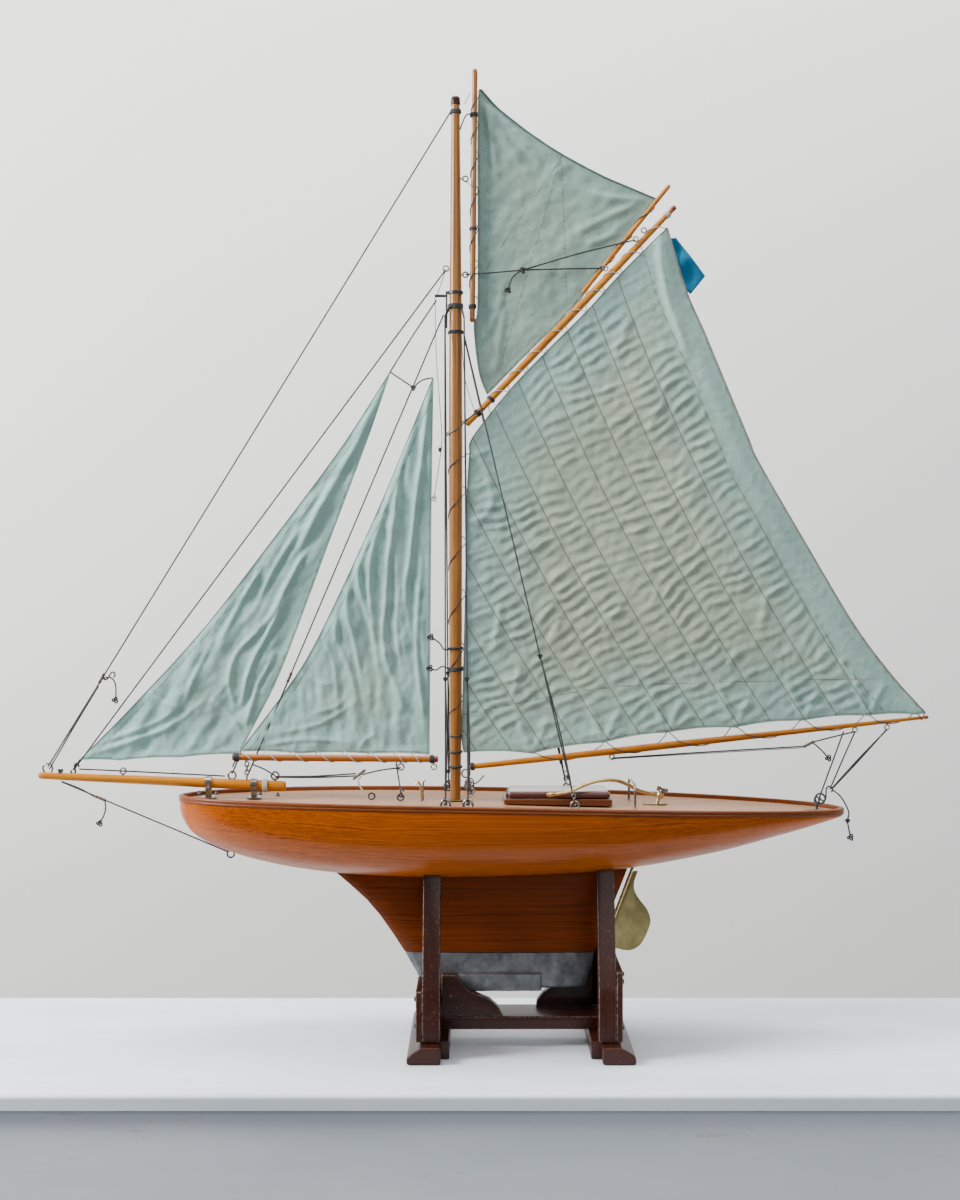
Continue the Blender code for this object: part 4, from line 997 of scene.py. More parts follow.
TOP_LEECH = ((0.236, 1.1469), (0.2007, 1.1619), (0.1599, 1.1796), (0.1068, 1.2081), (0.066, 1.2347),
             (0.0347, 1.2585), (0.0156, 1.2748), (-0.0034, 1.2966))
TOP_LUFF = ((-0.0034, 1.2966), (-0.0061, 1.2966), (-0.0075, 1.2258), (-0.0075, 1.0068), (-0.0129, 0.9782),
            (-0.0061, 0.9129), (0.0048, 0.8816))
TOP_FOOT = ((0.0048, 0.8816), (0.0116, 0.8871), (0.0633, 0.9401), (0.1158, 0.9911), (0.1408, 1.0218),
            (0.1782, 1.0721), (0.2034, 1.1034), (0.236, 1.1469))
TOP_SEAMS = (((0.108, 1.206), (0.004, 1.052)), ((0.107, 1.207), (0.024, 0.923)),
             ((0.106, 1.208), (0.114, 1.008)))
TOP_FOLDS = (
    (((-0.001, 1.286), (0.019, 1.239), (0.043, 1.205), (0.07, 1.175)), -0.0016, 0.006, 0.005),
    (((0.002, 1.278), (0.012, 1.222), (0.019, 1.171)), -0.0014, 0.0055, 0.0045),
    (((0.009, 1.277), (0.043, 1.236), (0.08, 1.195)), -0.0014, 0.006, 0.005),
    (((0.233, 1.145), (0.186, 1.131), (0.145, 1.11), (0.114, 1.097)), -0.0018, 0.006, 0.005),
    (((0.233, 1.142), (0.199, 1.117), (0.172, 1.097), (0.138, 1.083)), -0.0018, 0.0055, 0.0045),
    (((0.225, 1.148), (0.172, 1.148), (0.131, 1.161)), -0.0016, 0.006, 0.005),
    (((0.015, 0.91), (0.019, 0.933), (0.029, 1.001)), -0.0014, 0.005, 0.005),
    (((-0.004, 0.95), (0.018, 0.99), (0.03, 1.04)), -0.0012, 0.006, 0.005),
)


def top_relief(x, z, rim):
    """The topsail's shallow folds, kept clear of the gaff."""
    y = 0.0014 * ripple(x, z, 9.0, 4.4) - 0.001 * ripple(x, z, 40.0, 1.1) - 0.0003 * ripple(x, z, 140.0, 6.0)
    y += -0.0012 * ripple((x + z) * 0.4, x - z, 48.0, 6.4) - 0.0008 * ripple(x, z, 90.0, 3.8)
    for run, depth, left, right in TOP_FOLDS:
        y += crest(x, z, run, depth * 2.0, left, right)
    foot, _ = from_run(x, z, list(TOP_FOOT))
    return np.maximum(y * smoothstep(0.0, 0.01, rim), -0.0035 * smoothstep(0.006, 0.03, np.abs(foot))
                      - 0.0002)


def top_panel(x, z):
    """The topsail's three seams fan out from its clew."""
    nearest = np.full(x.shape, 1.0)
    for run in TOP_SEAMS:
        away, _ = from_run(x, z, list(run))
        nearest = np.minimum(nearest, np.abs(away))
    return np.full(x.shape, 0.5), nearest


PENNANT = ((0.2545, 1.0925), (0.2619, 1.0939), (0.3027, 1.0422), (0.2823, 1.0163), (0.2728, 1.0245),
           (0.2646, 0.9918))


def pennant_relief(x, z, rim):
    """The pennant hangs in two soft waves."""
    wave = np.sin((x * 0.9 - z * 0.5) * 170) * smoothstep(0.0, 0.01, rim)
    return 0.0036 * ripple(x, z, 38.0, 2.0) - 0.002 * wave


def make_sail(name, edges, side, relief, step, looks, body, panel, hems,
              thickness=0.0006):
    """One sail, and a hem or bolt rope on each edge named in hems."""
    sail = Sail(name, edges, side, relief, step)
    piece = sail.make(looks, body, (name,), panel, thickness)
    sail.flat_area()
    for key, (radius, look) in hems.items():
        sail.hem(key, radius, look, body)
    return sail


def smooth_edges(**runs):
    """Sail edges as smooth curves through their points."""
    return {key: smooth_run(run, 0.003) for key, run in runs.items()}


def make_sails():
    """The mainsail, jib, staysail, topsail and pennant."""
    edges = {**smooth_edges(leech=MAIN_LEECH, head=MAIN_HEAD, luff=MAIN_LUFF),
             "foot": scalloped(MAIN_FOOT, 0.0028)}
    hems = {"leech": (0.0013, LEECH_CORD), "head": (0.0008, HEM_CLOTH), "luff": (0.001, HEM_CLOTH),
            "foot": (0.0008, HEM_CLOTH)}
    mainsail = make_sail("mainsail", edges, 0.0, main_relief, 0.0034, MAIN_CLOTH, "main_rig",
                         main_panel, hems)
    head_hems = {"luff": (0.0009, HEM_CLOTH), "foot": (0.0007, HEM_CLOTH), "leech": (0.0008, HEM_CLOTH)}
    edges = {"luff": smooth_run(JIB_LUFF, 0.003), "foot": scalloped(JIB_FOOT, 0.002),
             "leech": smooth_run(JIB_LEECH, 0.003)}
    jib = make_sail("jib", edges, 0.0, jib_relief, 0.003, HEAD_CLOTH, "jib_sail",
                    head_panel(list(JIB_LUFF)), head_hems)
    edges = {"luff": smooth_run(STAY_LUFF, 0.003), "foot": scalloped(STAY_FOOT, 0.002),
             "leech": smooth_run(STAY_LEECH, 0.003)}
    staysail = make_sail("staysail", edges, -0.0012, stay_relief, 0.003, HEAD_CLOTH, "staysail_rig",
                         head_panel(list(STAY_LUFF)), head_hems)
    hems = {"leech": (0.0015, DARK_HEM), "luff": (0.0009, HEM_CLOTH), "foot": (0.0007, HEM_CLOTH)}
    topsail = make_sail("topsail", smooth_edges(leech=TOP_LEECH, luff=TOP_LUFF, foot=TOP_FOOT), 0.0066,
                        top_relief, 0.0034, TOP_CLOTH, "main_rig", top_panel,
                        hems)
    make_sail("pennant", {"all": list(PENNANT) + [PENNANT[0]]}, 0.0035, pennant_relief, 0.0022, BLUE_CLOTH,
              "main_rig", lambda x, z: (np.full(x.shape, 0.5), np.ones(x.shape)),
              {}, 0.0005)
    return mainsail, jib, staysail, topsail


# ---------------------------------------------------------------- hull

HULL_MIDDLE_X = 0.038
HULL_HALF_LENGTH = 0.451
# Half beam, height of the bilge and fullness of the section, at equal steps from the stem to the stern.
STATIONS = (
    (0.001, 0.318, 2.0), (0.04, 0.2815, 2.0), (0.074, 0.254, 2.1), (0.1, 0.235, 2.2),
    (0.114, 0.2275, 2.3), (0.1172, 0.229, 2.3), (0.1125, 0.237, 2.3), (0.096, 0.258, 2.2),
    (0.07, 0.2835, 2.1), (0.038, 0.3015, 2.0), (0.001, 0.308, 2.0),
)
RAIL_HEIGHT = 0.0085
HULL_STEPS = 120
HULL_ACROSS = 36
DECK_SINK = 0.0055
STOCK_HEAD = Vector((0.2387, 0.0, 0.33))
STOCK_AXIS = Vector((0.0767, 0.0, 0.2015)).normalized()


def rail_top(x):
    """Height of the sheer line, a gentle curve with its low point near the stern."""
    u = x - HULL_MIDDLE_X
    return 0.332 - 0.0194 * u - 0.0234 * u * u


def deck_top(x):
    """Height of the deck beside the rail."""
    return rail_top(x) - DECK_SINK


def rim_top(x):
    """The hull's own edge, under the toe rail."""
    return rail_top(x) - RAIL_HEIGHT


def station(t):
    """Half beam, bilge height and fullness at a share of the length, from the stations (Catmull-Rom)."""
    place_on = min(max(t, 0.0), 1.0) * (len(STATIONS) - 1)
    i = min(int(place_on), len(STATIONS) - 2)
    u = place_on - i
    rows = [STATIONS[min(max(j, 0), len(STATIONS) - 1)] for j in (i - 1, i, i + 1, i + 2)]
    return [p1 + 0.5 * u * (p2 - p0 + u * (2 * p0 - 5 * p1 + 4 * p2 - p3 + u * (3 * (p1 - p2) + p3 - p0)))
            for p0, p1, p2, p3 in zip(*rows)]


def hull_x(t):
    """Stations crowd towards the two ends, where the outline turns quickly."""
    return HULL_MIDDLE_X - HULL_HALF_LENGTH * math.cos(math.pi * t)


def make_hull():
    """The carved shell, with a fine surface and an inner wall, open at the top under the deck."""
    rings_out = []
    steps = HULL_STEPS
    across = HULL_ACROSS
    for i in range(steps + 1):
        t = i / steps
        beam, bilge, fullness = station(t)
        beam = max(beam, 0.001)
        x = hull_x(t)
        top = rail_top(x) - RAIL_HEIGHT
        depth = top - bilge + 0.0008 * (beam / STATIONS[5][0]) ** 2
        outer = []
        for k in range(2 * across + 1):
            angle = math.pi * k / (2 * across)
            c = math.cos(angle)
            y = math.copysign(abs(c) ** (2 / fullness), c) * beam
            outer.append((x, -y, top - depth * max(math.sin(angle), 0.0) ** (2 / fullness)))
        rings_out.append(outer)
    inner = [[(HULL_MIDDLE_X + (x - HULL_MIDDLE_X) * 0.972, y * 0.935, rim_top(x) + (z - rim_top(x)) * 0.92)
              for x, y, z in ring_points] for ring_points in rings_out]
    points = [p for ring_points in rings_out + inner for p in ring_points]
    width = 2 * across + 1
    shift = (steps + 1) * width
    faces = []
    for wall in (0, 1):
        base = wall * shift
        for i in range(steps):
            for k in range(width - 1):
                a = base + i * width + k
                quad = (a, a + width, a + width + 1, a + 1)
                faces.append(quad if wall == 0 else tuple(reversed(quad)))
        first = [base + k for k in range(width)]
        last = [base + steps * width + k for k in range(width)]
        faces.append(tuple(first if wall == 0 else reversed(first)))
        faces.append(tuple(reversed(last) if wall == 0 else last))
    for k in (0, width - 1):
        for i in range(steps):
            a = i * width + k
            quad = (a, a + width, a + width + shift, a + shift)
            faces.append(quad if k else tuple(reversed(quad)))
    for row in (0, steps):
        a = row * width
        faces.append((a, a + shift, a + width - 1 + shift, a + width - 1))
    hull = mesh_piece("hull", points, faces, HULL, "yacht", "varnished_hull", ("hull_shell",), smooth=50)
    fix_normals(hull)
    bore = cylinder_between(STOCK_HEAD - STOCK_AXIS * 0.14, STOCK_HEAD + STOCK_AXIS * 0.02, 0.0042)
    cut = hull.modifiers.new("stock hole", "BOOLEAN")
    cut.object = bore
    bake(hull)
    bpy.data.objects.remove(bore)


def cylinder_between(a, b, radius):
    """A plain round cutter, not shown."""
    axis = (b - a).normalized()
    across = axis.orthogonal().normalized()
    up = axis.cross(across)
    points, faces = rings_mesh([circle(centre, radius, across, up, 24) for centre in (a, b)])
    mesh = bpy.data.meshes.new("cutter")
    mesh.from_pydata(points, [], faces)
    cutter = bpy.data.objects.new("cutter", mesh)
    SCENE.objects.link(cutter)
    fix_normals(cutter)
    cutter.hide_render = True
    return cutter


def bake(piece):
    """Replaces a piece's mesh with what its modifiers make of it."""
    graph = bpy.context.evaluated_depsgraph_get()
    graph.update()
    made = bpy.data.meshes.new_from_object(piece.evaluated_get(graph))
    piece.modifiers.clear()
    piece.data = made
    made.shade_smooth()
    made.set_sharp_from_angle(angle=math.radians(45))


OUTLINE_STEPS = 90


def outline(inset):
    """The deck's outline in plan, moved in by inset: port side from bow to stern, then starboard back."""
    side = [(hull_x(i / OUTLINE_STEPS), max(station(i / OUTLINE_STEPS)[0], 0.001))
            for i in range(OUTLINE_STEPS + 1)]
    points = []
    for i, (x, y) in enumerate(side):
        before = side[max(i - 1, 0)]
        after = side[min(i + 1, OUTLINE_STEPS)]
        run = Vector((after[0] - before[0], after[1] - before[1]))
        if i == 0:
            run = Vector((0.0, 1.0))
        if i == OUTLINE_STEPS:
            run = Vector((0.0, -1.0))
        run.normalize()
        points.append((x + inset * run.y, max(y - inset * run.x, 0.0006)))
    return [(x, -y) for x, y in points] + [(x, y) for x, y in reversed(points)]


def make_rail():
    """The toe rail: a rounded cap over a proud lower bead, mitred round bow and stern."""
    profile = ((-0.0006, 0.0004), (-0.0012, 0.0008), (-0.0013, 0.003), (-0.0008, 0.0036), (-0.0004, 0.004),
               (-0.001, 0.0046), (-0.0013, 0.0056), (-0.0011, 0.0074), (-0.0004, 0.0083), (0.0012, 0.0086),
               (0.0038, 0.0085), (0.0048, 0.0079), (0.005, 0.0066), (0.005, 0.0004))
    lines = [outline(inset) for inset, _ in profile]
    rings = []
    for i in range(len(lines[0])):
        rings.append([Vector((run[i][0], run[i][1], rim_top(run[i][0]) + height))
                      for run, (_, height) in zip(lines, profile)])
    rail = mesh_piece("toe_rail_moulding", *rings_mesh(rings, closed_loop=True), RAIL, "yacht", "red_wood",
                      ("toe_rail",), smooth=60)
    fix_normals(rail)


# ---------------------------------------------------------------- spars

MAST_X = -0.038
MAST_RADII = ((0.242, 0.0068), (0.33, 0.0068), (0.45, 0.0085), (0.82, 0.0095), (1.0, 0.0086), (1.07, 0.008),
              (1.284, 0.0056), (1.285, 0.005))
BOOM = (Vector((-0.0197, 0.0, 0.3729)), Vector((0.605, 0.0, 0.4408)))
GAFF = (Vector((-0.0235, 0.0, 0.8381)), Vector((0.2607, 0.0, 1.1353)))
YARD = (Vector((-0.0154, 0.0, 0.9781)), Vector((-0.0116, 0.0, 1.3227)))
JACKYARD = (Vector((0.135, 0.0, 1.0185)), Vector((0.2531, 0.0, 1.1647)))
CLUB_Y = -0.006
CLUB = (Vector((-0.341, CLUB_Y, 0.3866)), Vector((-0.0618, CLUB_Y, 0.3839)))
SPRIT = (Vector((-0.269, 0.0, 0.3465)), Vector((-0.605, 0.0, 0.3613)))
SPRIT_AXIS = (1, 0, -0.044)
SPAR_SIZES = {
    "boom": ((0.0, 0.0036), (0.15, 0.0043), (0.4, 0.0051), (0.8, 0.0034), (1.0, 0.0022)),
    "gaff": ((0.0, 0.004), (0.3, 0.005), (0.5, 0.0054), (0.8, 0.0046), (1.0, 0.0034)),
    "sprit": ((0.0, 0.0071), (0.3, 0.0068), (1.0, 0.0047)),
    "club": ((0.0, 0.0042), (0.5, 0.0046), (1.0, 0.0042)),
}


def mast_radius(z):
    """The mast's radius at a height."""
    return float(np.interp(z, [h for h, _ in MAST_RADII], [r for _, r in MAST_RADII]))


def end_sleeve(name, ends, at_end, length, radius, look, body):
    """A painted or dipped end on a spar: a thin skin that stands a hair proud."""
    start = ends[1] if at_end else ends[0]
    inward = (ends[0] - ends[1] if at_end else ends[1] - ends[0]).normalized()
    turned(name, start - inward * 0.0003, inward, ((0, radius * 0.55), (0.0004, radius * 0.85),
                                                   (0.0012, radius * 1.01), (length * 0.5, radius * 1.03),
                                                   (length, radius * 1.045), (length + 0.0002, radius * 0.9)),
           look, body, "red_wood")


def make_spars():
    """The mast, boom, gaff, yards, club boom and bowsprit, with their dipped ends, truck and plate."""
    heights = [z for z, _ in MAST_RADII]
    low, high = heights[0], heights[-1]
    shares = [((z - low) / (high - low), r) for z, r in MAST_RADII]
    spar("mast_pole", PINE_Z, "yacht", (MAST_X, 0, low), (MAST_X, 0, high), shares, ("mast",), sides=40)
    spar("boom_spar", PINE_X, "main_rig", *BOOM, SPAR_SIZES["boom"], ("boom",))
    spar("gaff_spar", PINE_DIAGONAL, "main_rig", *GAFF, SPAR_SIZES["gaff"], ("gaff",))
    spar("topsail_yard_spar", PINE_Z, "main_rig", *YARD, ((0.0, 0.0037), (0.4, 0.004), (1.0, 0.0036)),
         ("topsail_yard",))
    spar("jackyard_spar", PINE_DIAGONAL, "main_rig", *JACKYARD, ((0.0, 0.0031), (0.5, 0.0033), (1.0, 0.003)),
         ("jackyard",))
    spar("club_boom_spar", RED_PINE, "staysail_rig", *CLUB, SPAR_SIZES["club"], ("club_boom",))
    spar("bowsprit_spar", PINE_X, "yacht", *SPRIT, SPAR_SIZES["sprit"], ("bowsprit",), sides=40)
    end_sleeve("gaff_end_aft", GAFF, True, 0.007, 0.0035, RED_PAINT, "main_rig")
    end_sleeve("club_end_fore", CLUB, False, 0.006, 0.0043, RED_PAINT, "staysail_rig")
    end_sleeve("club_end_aft", CLUB, True, 0.006, 0.0043, RED_PAINT, "staysail_rig")
    end_sleeve("boom_end_aft", BOOM, True, 0.005, 0.0024, RED_PAINT, "main_rig")
    truck = ((0, 0.006), (0.0006, 0.0066), (0.005, 0.0065), (0.0085, 0.0062), (0.0104, 0.0056),
             (0.0115, 0.0042), (0.0117, 0.0012))
    turned("mast_truck", (MAST_X, 0, 1.2735), UPRIGHT, truck, STAND_Z, "yacht", "red_wood")
    washer("mast_plate", (MAST_X, 0, deck_top(MAST_X) + 0.0001), UPRIGHT, 0.0071, 0.0135, 0.0009, BRASS,
           "yacht", "brass", squareness=1.0)
    for index, (dx, dy) in enumerate(((-1, -1), (1, -1), (-1, 1), (1, 1))):
        turned(f"mast_plate_screw_{index}", (MAST_X + dx * 0.0098, dy * 0.0098, deck_top(MAST_X) + 0.0008),
               (0, 0, 1), ((0, 0.0012), (0.0003, 0.0011), (0.0005, 0.0007), (0.00055, 0.0002)), BRASS,
               "yacht", "brass", sides=14)


# ---------------------------------------------------------------- sail lacings

def spiral_lacing(name, points, ends, reach, body, look, flip=False):
    """A cord that passes through each point on a sail's edge and round the spar between them."""
    axis = (ends[1] - ends[0]).normalized()
    route = []
    for here, after in zip(points, points[1:]):
        foot = ends[0] + axis * (here - ends[0]).dot(axis)
        next_foot = ends[0] + axis * (after - ends[0]).dot(axis)
        toward = here - foot
        gap = toward.length
        toward.normalize()
        across = axis.cross(toward) * (-1 if flip else 1)
        radius = reach(foot) + LACING * 1.1
        for k in range(LACING_STEPS):
            angle = 2 * math.pi * k / LACING_STEPS
            pull = max(0.0, math.cos(angle)) ** 3
            size = radius + (gap - radius) * pull
            centre = foot.lerp(next_foot, k / LACING_STEPS)
            route.append(centre + size * (math.cos(angle) * toward + math.sin(angle) * across
                                          * (radius / size)))
    route.append(points[-1])
    return line(name, route, body, LACING, look, 0.002)


def edge_points(sail, key, spots):
    """Points on a sail's edge nearest to given X and Z places."""
    run = sail.on_edge(key)
    return [min(run, key=lambda p: math.dist((p.x, p.z), spot)).copy() for spot in spots]


def spar_reach(kind, ends):
    """A function that gives the spar's radius at a point on its axis."""
    def reach(foot):
        share = (foot - ends[0]).length / (ends[1] - ends[0]).length
        return float(np.interp(share, [s for s, _ in SPAR_SIZES[kind]], [r for _, r in SPAR_SIZES[kind]]))
    return reach


def make_lacings(mainsail, staysail, topsail):
    """The cords that lace each sail to its spar."""
    mast_line = (Vector((MAST_X, 0, 0.3)), Vector((MAST_X, 0, 1.2)))
    spots = [(-0.029, 0.423), (-0.0285, 0.464), (-0.0265, 0.535), (-0.0252, 0.608), (-0.0235, 0.68),
             (-0.0215, 0.748), (-0.019, 0.799)]
    spiral_lacing("luff_lacing", edge_points(mainsail, "luff", spots), mast_line,
                  lambda foot: mast_radius(foot.z), "main_rig", RIGGING)
    spiral_lacing("foot_lacing", edge_points(mainsail, "foot", list(MAIN_FOOT[1:])), BOOM,
                  spar_reach("boom", BOOM), "main_rig", RIGGING)
    head = [MAIN_HEAD[0]] + [(0.216, 1.073), (0.1871, 1.0442), (0.164, 1.019), (0.1408, 0.9932),
                             (0.113, 0.965), (0.085, 0.9374), (0.06, 0.9108), (0.0347, 0.8843), (0.01, 0.853)]
    spiral_lacing("head_lacing", edge_points(mainsail, "head", head), GAFF, spar_reach("gaff", GAFF),
                  "main_rig", PALE_CORD, flip=True)
    club = [(-0.329, 0.394), (-0.295, 0.393), (-0.26, 0.392), (-0.225, 0.3918), (-0.19, 0.3918),
            (-0.1544, 0.3918), (-0.12, 0.3912), (-0.095, 0.3908), (-0.076, 0.3905)]
    spiral_lacing("club_lacing", edge_points(staysail, "foot", club), CLUB, spar_reach("club", CLUB),
                  "staysail_rig", PALE_CORD)
    yard = [(-0.0075, 1.01), (-0.0075, 1.06), (-0.0075, 1.11), (-0.0075, 1.16), (-0.0075, 1.21),
            (-0.0072, 1.25), (-0.0062, 1.29)]
    spiral_lacing("yard_lacing", edge_points(topsail, "luff", yard), YARD, lambda foot: 0.004, "main_rig",
                  RIGGING)
    jack = [(0.15, 1.034), (0.1782, 1.0721), (0.2034, 1.1034), (0.234, 1.144)]
    spiral_lacing("jackyard_lacing", edge_points(topsail, "foot", jack), JACKYARD, lambda foot: 0.0033,
                  "main_rig", RIGGING)


# ---------------------------------------------------------------- rigging

def joined_line(name, points, replaces=()):
    """A cord as a mesh along a smooth curve through its points, set on no body."""
    route = curve_through(points, 0.004)
    if len(points) == 2:
        route = [Vector(points[0]).lerp(Vector(points[1]), k / 24) for k in range(25)]
    rings = []
    for point, (side, up) in zip(route, frame_along(route)):
        rings.append(circle(point, CORD, side, up, 10))
    mesh = bpy.data.meshes.new(name)
    spots, faces = rings_mesh(rings)
    mesh.from_pydata([tuple(p) for p in spots], [], faces)
    mesh.shade_smooth()
    mesh.set_sharp_from_angle(angle=math.radians(50))
    mesh.materials.append(RIGGING)
    piece = bpy.data.objects.new(name, mesh)
    SCENE.objects.link(piece)
    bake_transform(piece)
    if replaces:
        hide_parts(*replaces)
    return piece


def tail(name, points, body, end="knot", wire=CORD, look=None):
    """A loose end: a hanging cord, with a knot at its foot when end is knot."""
    piece = line(name, points, body, wire, look)
    ends = ()
    if end == "knot":
        ends = (knot(f"{name}_knot", points[-1], TAIL_KNOT, body, look, wire, turn=0.6),)


def make_runner(side, label):
    """A backstay with its doubled fall, seizing and chain."""
    eye = Vector((0.1175, side * 0.103, 0.3392))
    head = Vector((-0.027, side * 0.009, 0.962))
    high = eye.lerp(head, 0.3)
    line(f"runner_{label}_cord", [eye, head], "yacht", replaces=(f"runner_{label}",))
    line(f"runner_{label}_fall", [eye, eye.lerp(high, 0.5) + Vector((0.0026, side * 0.0006, 0)), high],
         "yacht")
    knot(f"runner_{label}_knot", high, 0.0028, "yacht")
    turns(f"runner_{label}_seizing", eye.lerp(head, 0.05), head - eye, 0.0014, 5, "yacht", pitch=0.0011)
    chain(f"runner_{label}_chain", (0.118, side * 0.1033, 0.334), (0.1162, side * 0.1021, 0.352), 4, "yacht",
          width=0.0044, wire=0.0008)


def make_shroud(edge, side, label, x, head, drift):
    """A shroud with its doubled fall, knot, seizing and hook.
    drift is how far the fall's head lies ahead of its foot."""
    name = f"shroud_{edge}_{label}"
    line(f"{name}_cord", [(x, side * 0.1065, 0.342), head], "yacht", replaces=(name,))
    foot = Vector((x, side * 0.1065, 0.3418))
    top = Vector((x - drift, side * 0.0075, 0.986))
    high = foot.lerp(top, 0.24)
    line(f"{name}_fall", [foot, foot.lerp(high, 0.5) + Vector((0.0022, side * 0.0004, 0)), high], "yacht")
    knot(f"{name}_knot", high, 0.0026, "yacht", wire=CORD * 0.9)
    turns(f"{name}_seizing", foot.lerp(top, 0.022), top - foot, 0.0013, 4, "yacht", pitch=0.0011)
    hook(f"{name}_hook", foot + Vector((0, 0, 0.0006)), (x, side * 0.1065, 0.3352), "yacht", wire=0.0014)


def make_stays():
    """The stays, the two sheets that hold the rigs, the shrouds and the backstays."""
    for name, foot, head in (("topmast_stay", (-0.593, 0, 0.373), (-0.045, 0, 1.264)),
                             ("jib_stay", (-0.5575, 0, 0.369), (-0.051, 0, 1.05)),
                             ("forestay", (-0.3205, 0, 0.362), (-0.0545, 0, 0.988)),
                             ("bobstay", (-0.574, 0, 0.3525), (-0.348, 0, 0.2575))):
        line(f"{name}_cord", [foot, head], "yacht", replaces=(name,))
    joined_line("mainsheet_cord", [(0.458, 0, 0.334), (0.49, 0, 0.421)],
                replaces=("mainsheet",))
    joined_line("staysail_sheet_cord", [(-0.112, -0.0165, 0.342), (-0.119, 0, 0.379)],
                replaces=("staysail_sheet",))
    for side, label in SIDES:
        make_shroud("fore", side, label, -0.0495, (-0.0525, side * 0.0075, 0.986), 0.003)
        make_shroud("aft", side, label, -0.0203, (-0.0265, side * 0.0075, 0.985), 0.006)
        make_runner(side, label)
    hook("runner_starboard_hook", (0.1166, 0.1024, 0.356), (0.1174, 0.1029, 0.344), "yacht", wire=0.0007)


def stay_slide(name, ends, fall, loose=()):
    """The slide of a stay, the cord that doubles back to it, and its loose tail."""
    bowsie(f"{name}_slide", *ends, "yacht")
    line(f"{name}_fall", fall, "yacht")
    if loose:
        tail(f"{name}_tail", loose, "yacht")


def make_bow_gear():
    """Bowsprit rings, eyes, chain, seizings, the slides on the stays and their loose ends."""
    ring("sprit_tip_ring", (-0.593, 0, 0.371), 0.0066, 0.0013, "yacht")
    dome = ((0, 0.0012), (0.0003, 0.0034), (0.0012, 0.0043), (0.006, 0.0047), (0.01, 0.0048))
    turned("sprit_cap", (-0.6052, 0, 0.3613), SPRIT_AXIS, dome, RED_PINE, "yacht", "pine_spar")
    knot("sprit_knot", (-0.5754, -0.001, 0.367), 0.0034, "yacht")
    hook("tack_hook", (-0.553, 0, 0.377), (-0.559, 0, 0.364), "yacht", wire=0.0012)
    for label, x, foot, eye, radius, wire in (("mid", -0.4905, 0.3575, 0.3674, 0.0041, 0.0011),
                                              ("fore", -0.3422, 0.353, 0.3615, 0.0052, 0.0014),
                                              ("aft", -0.2837, 0.35, 0.361, 0.0052, 0.0014)):
        eye_and_shank(f"sprit_eye_{label}", (x, 0, foot), (x, 0, eye), radius, wire, "yacht")
    line("jib_outhaul", [(-0.55, -0.0008, 0.37), (-0.4905, -0.0008, 0.3674), (-0.3517, -0.0008, 0.3605)],
         "yacht", smooth_step=0.01)
    chain("forestay_chain", (-0.3218, -0.0014, 0.3796), (-0.3218, -0.0014, 0.357), 4, "yacht", width=0.0054,
          wire=0.001)
    for label, spot, count in (("fore", (-0.3742, 0, 0.351), 3), ("aft", (-0.2966, 0, 0.3476), 4)):
        turns(f"saddle_seizing_{label}", spot, SPRIT_AXIS, 0.008, count, "yacht", look=PALE_CORD,
              pitch=0.0016)
    for index, (x, z) in enumerate(((-0.385, 0.339), (-0.362, 0.339), (-0.303, 0.3385), (-0.279, 0.3365))):
        head = ((0, 0.003), (0.0012, 0.0031), (0.0022, 0.0024), (0.0032, 0.0018), (0.0046, 0.0017),
                (0.0052, 0.0009))
        turned(f"saddle_screw_{index}", (x, -0.009, z - 0.0025), UPRIGHT, head, IRON, "yacht", "dark_iron",
               sides=20)
    eye_and_shank("stem_eye", (-0.331, 0, 0.26), (-0.344, 0, 0.2545), 0.0048, 0.0012, "yacht", IRON,
                  slot="dark_iron")
    stay_slide("bobstay", [(-0.529, -0.001, 0.3335), (-0.513, -0.001, 0.3268)],
               [(-0.574, -0.0012, 0.3532), (-0.55, -0.0012, 0.344), (-0.528, -0.0016, 0.332)],
               [(-0.515, -0.0012, 0.327), (-0.5135, -0.003, 0.317), (-0.5165, -0.003, 0.306),
                (-0.5218, -0.003, 0.2966)])
    stay_slide("topmast_stay", [(-0.5235, -0.001, 0.4858), (-0.5155, -0.001, 0.5005)],
               [(-0.5905, -0.0014, 0.37), (-0.556, -0.0014, 0.429), (-0.5235, -0.0014, 0.483)],
               [(-0.52, -0.0014, 0.4925), (-0.508, -0.003, 0.495), (-0.501, -0.003, 0.488),
                (-0.4995, -0.003, 0.475), (-0.5005, -0.003, 0.464)])
    hook("topmast_stay_hook", (-0.502, -0.0016, 0.5), (-0.516, -0.0016, 0.4935), "yacht", wire=0.0011)


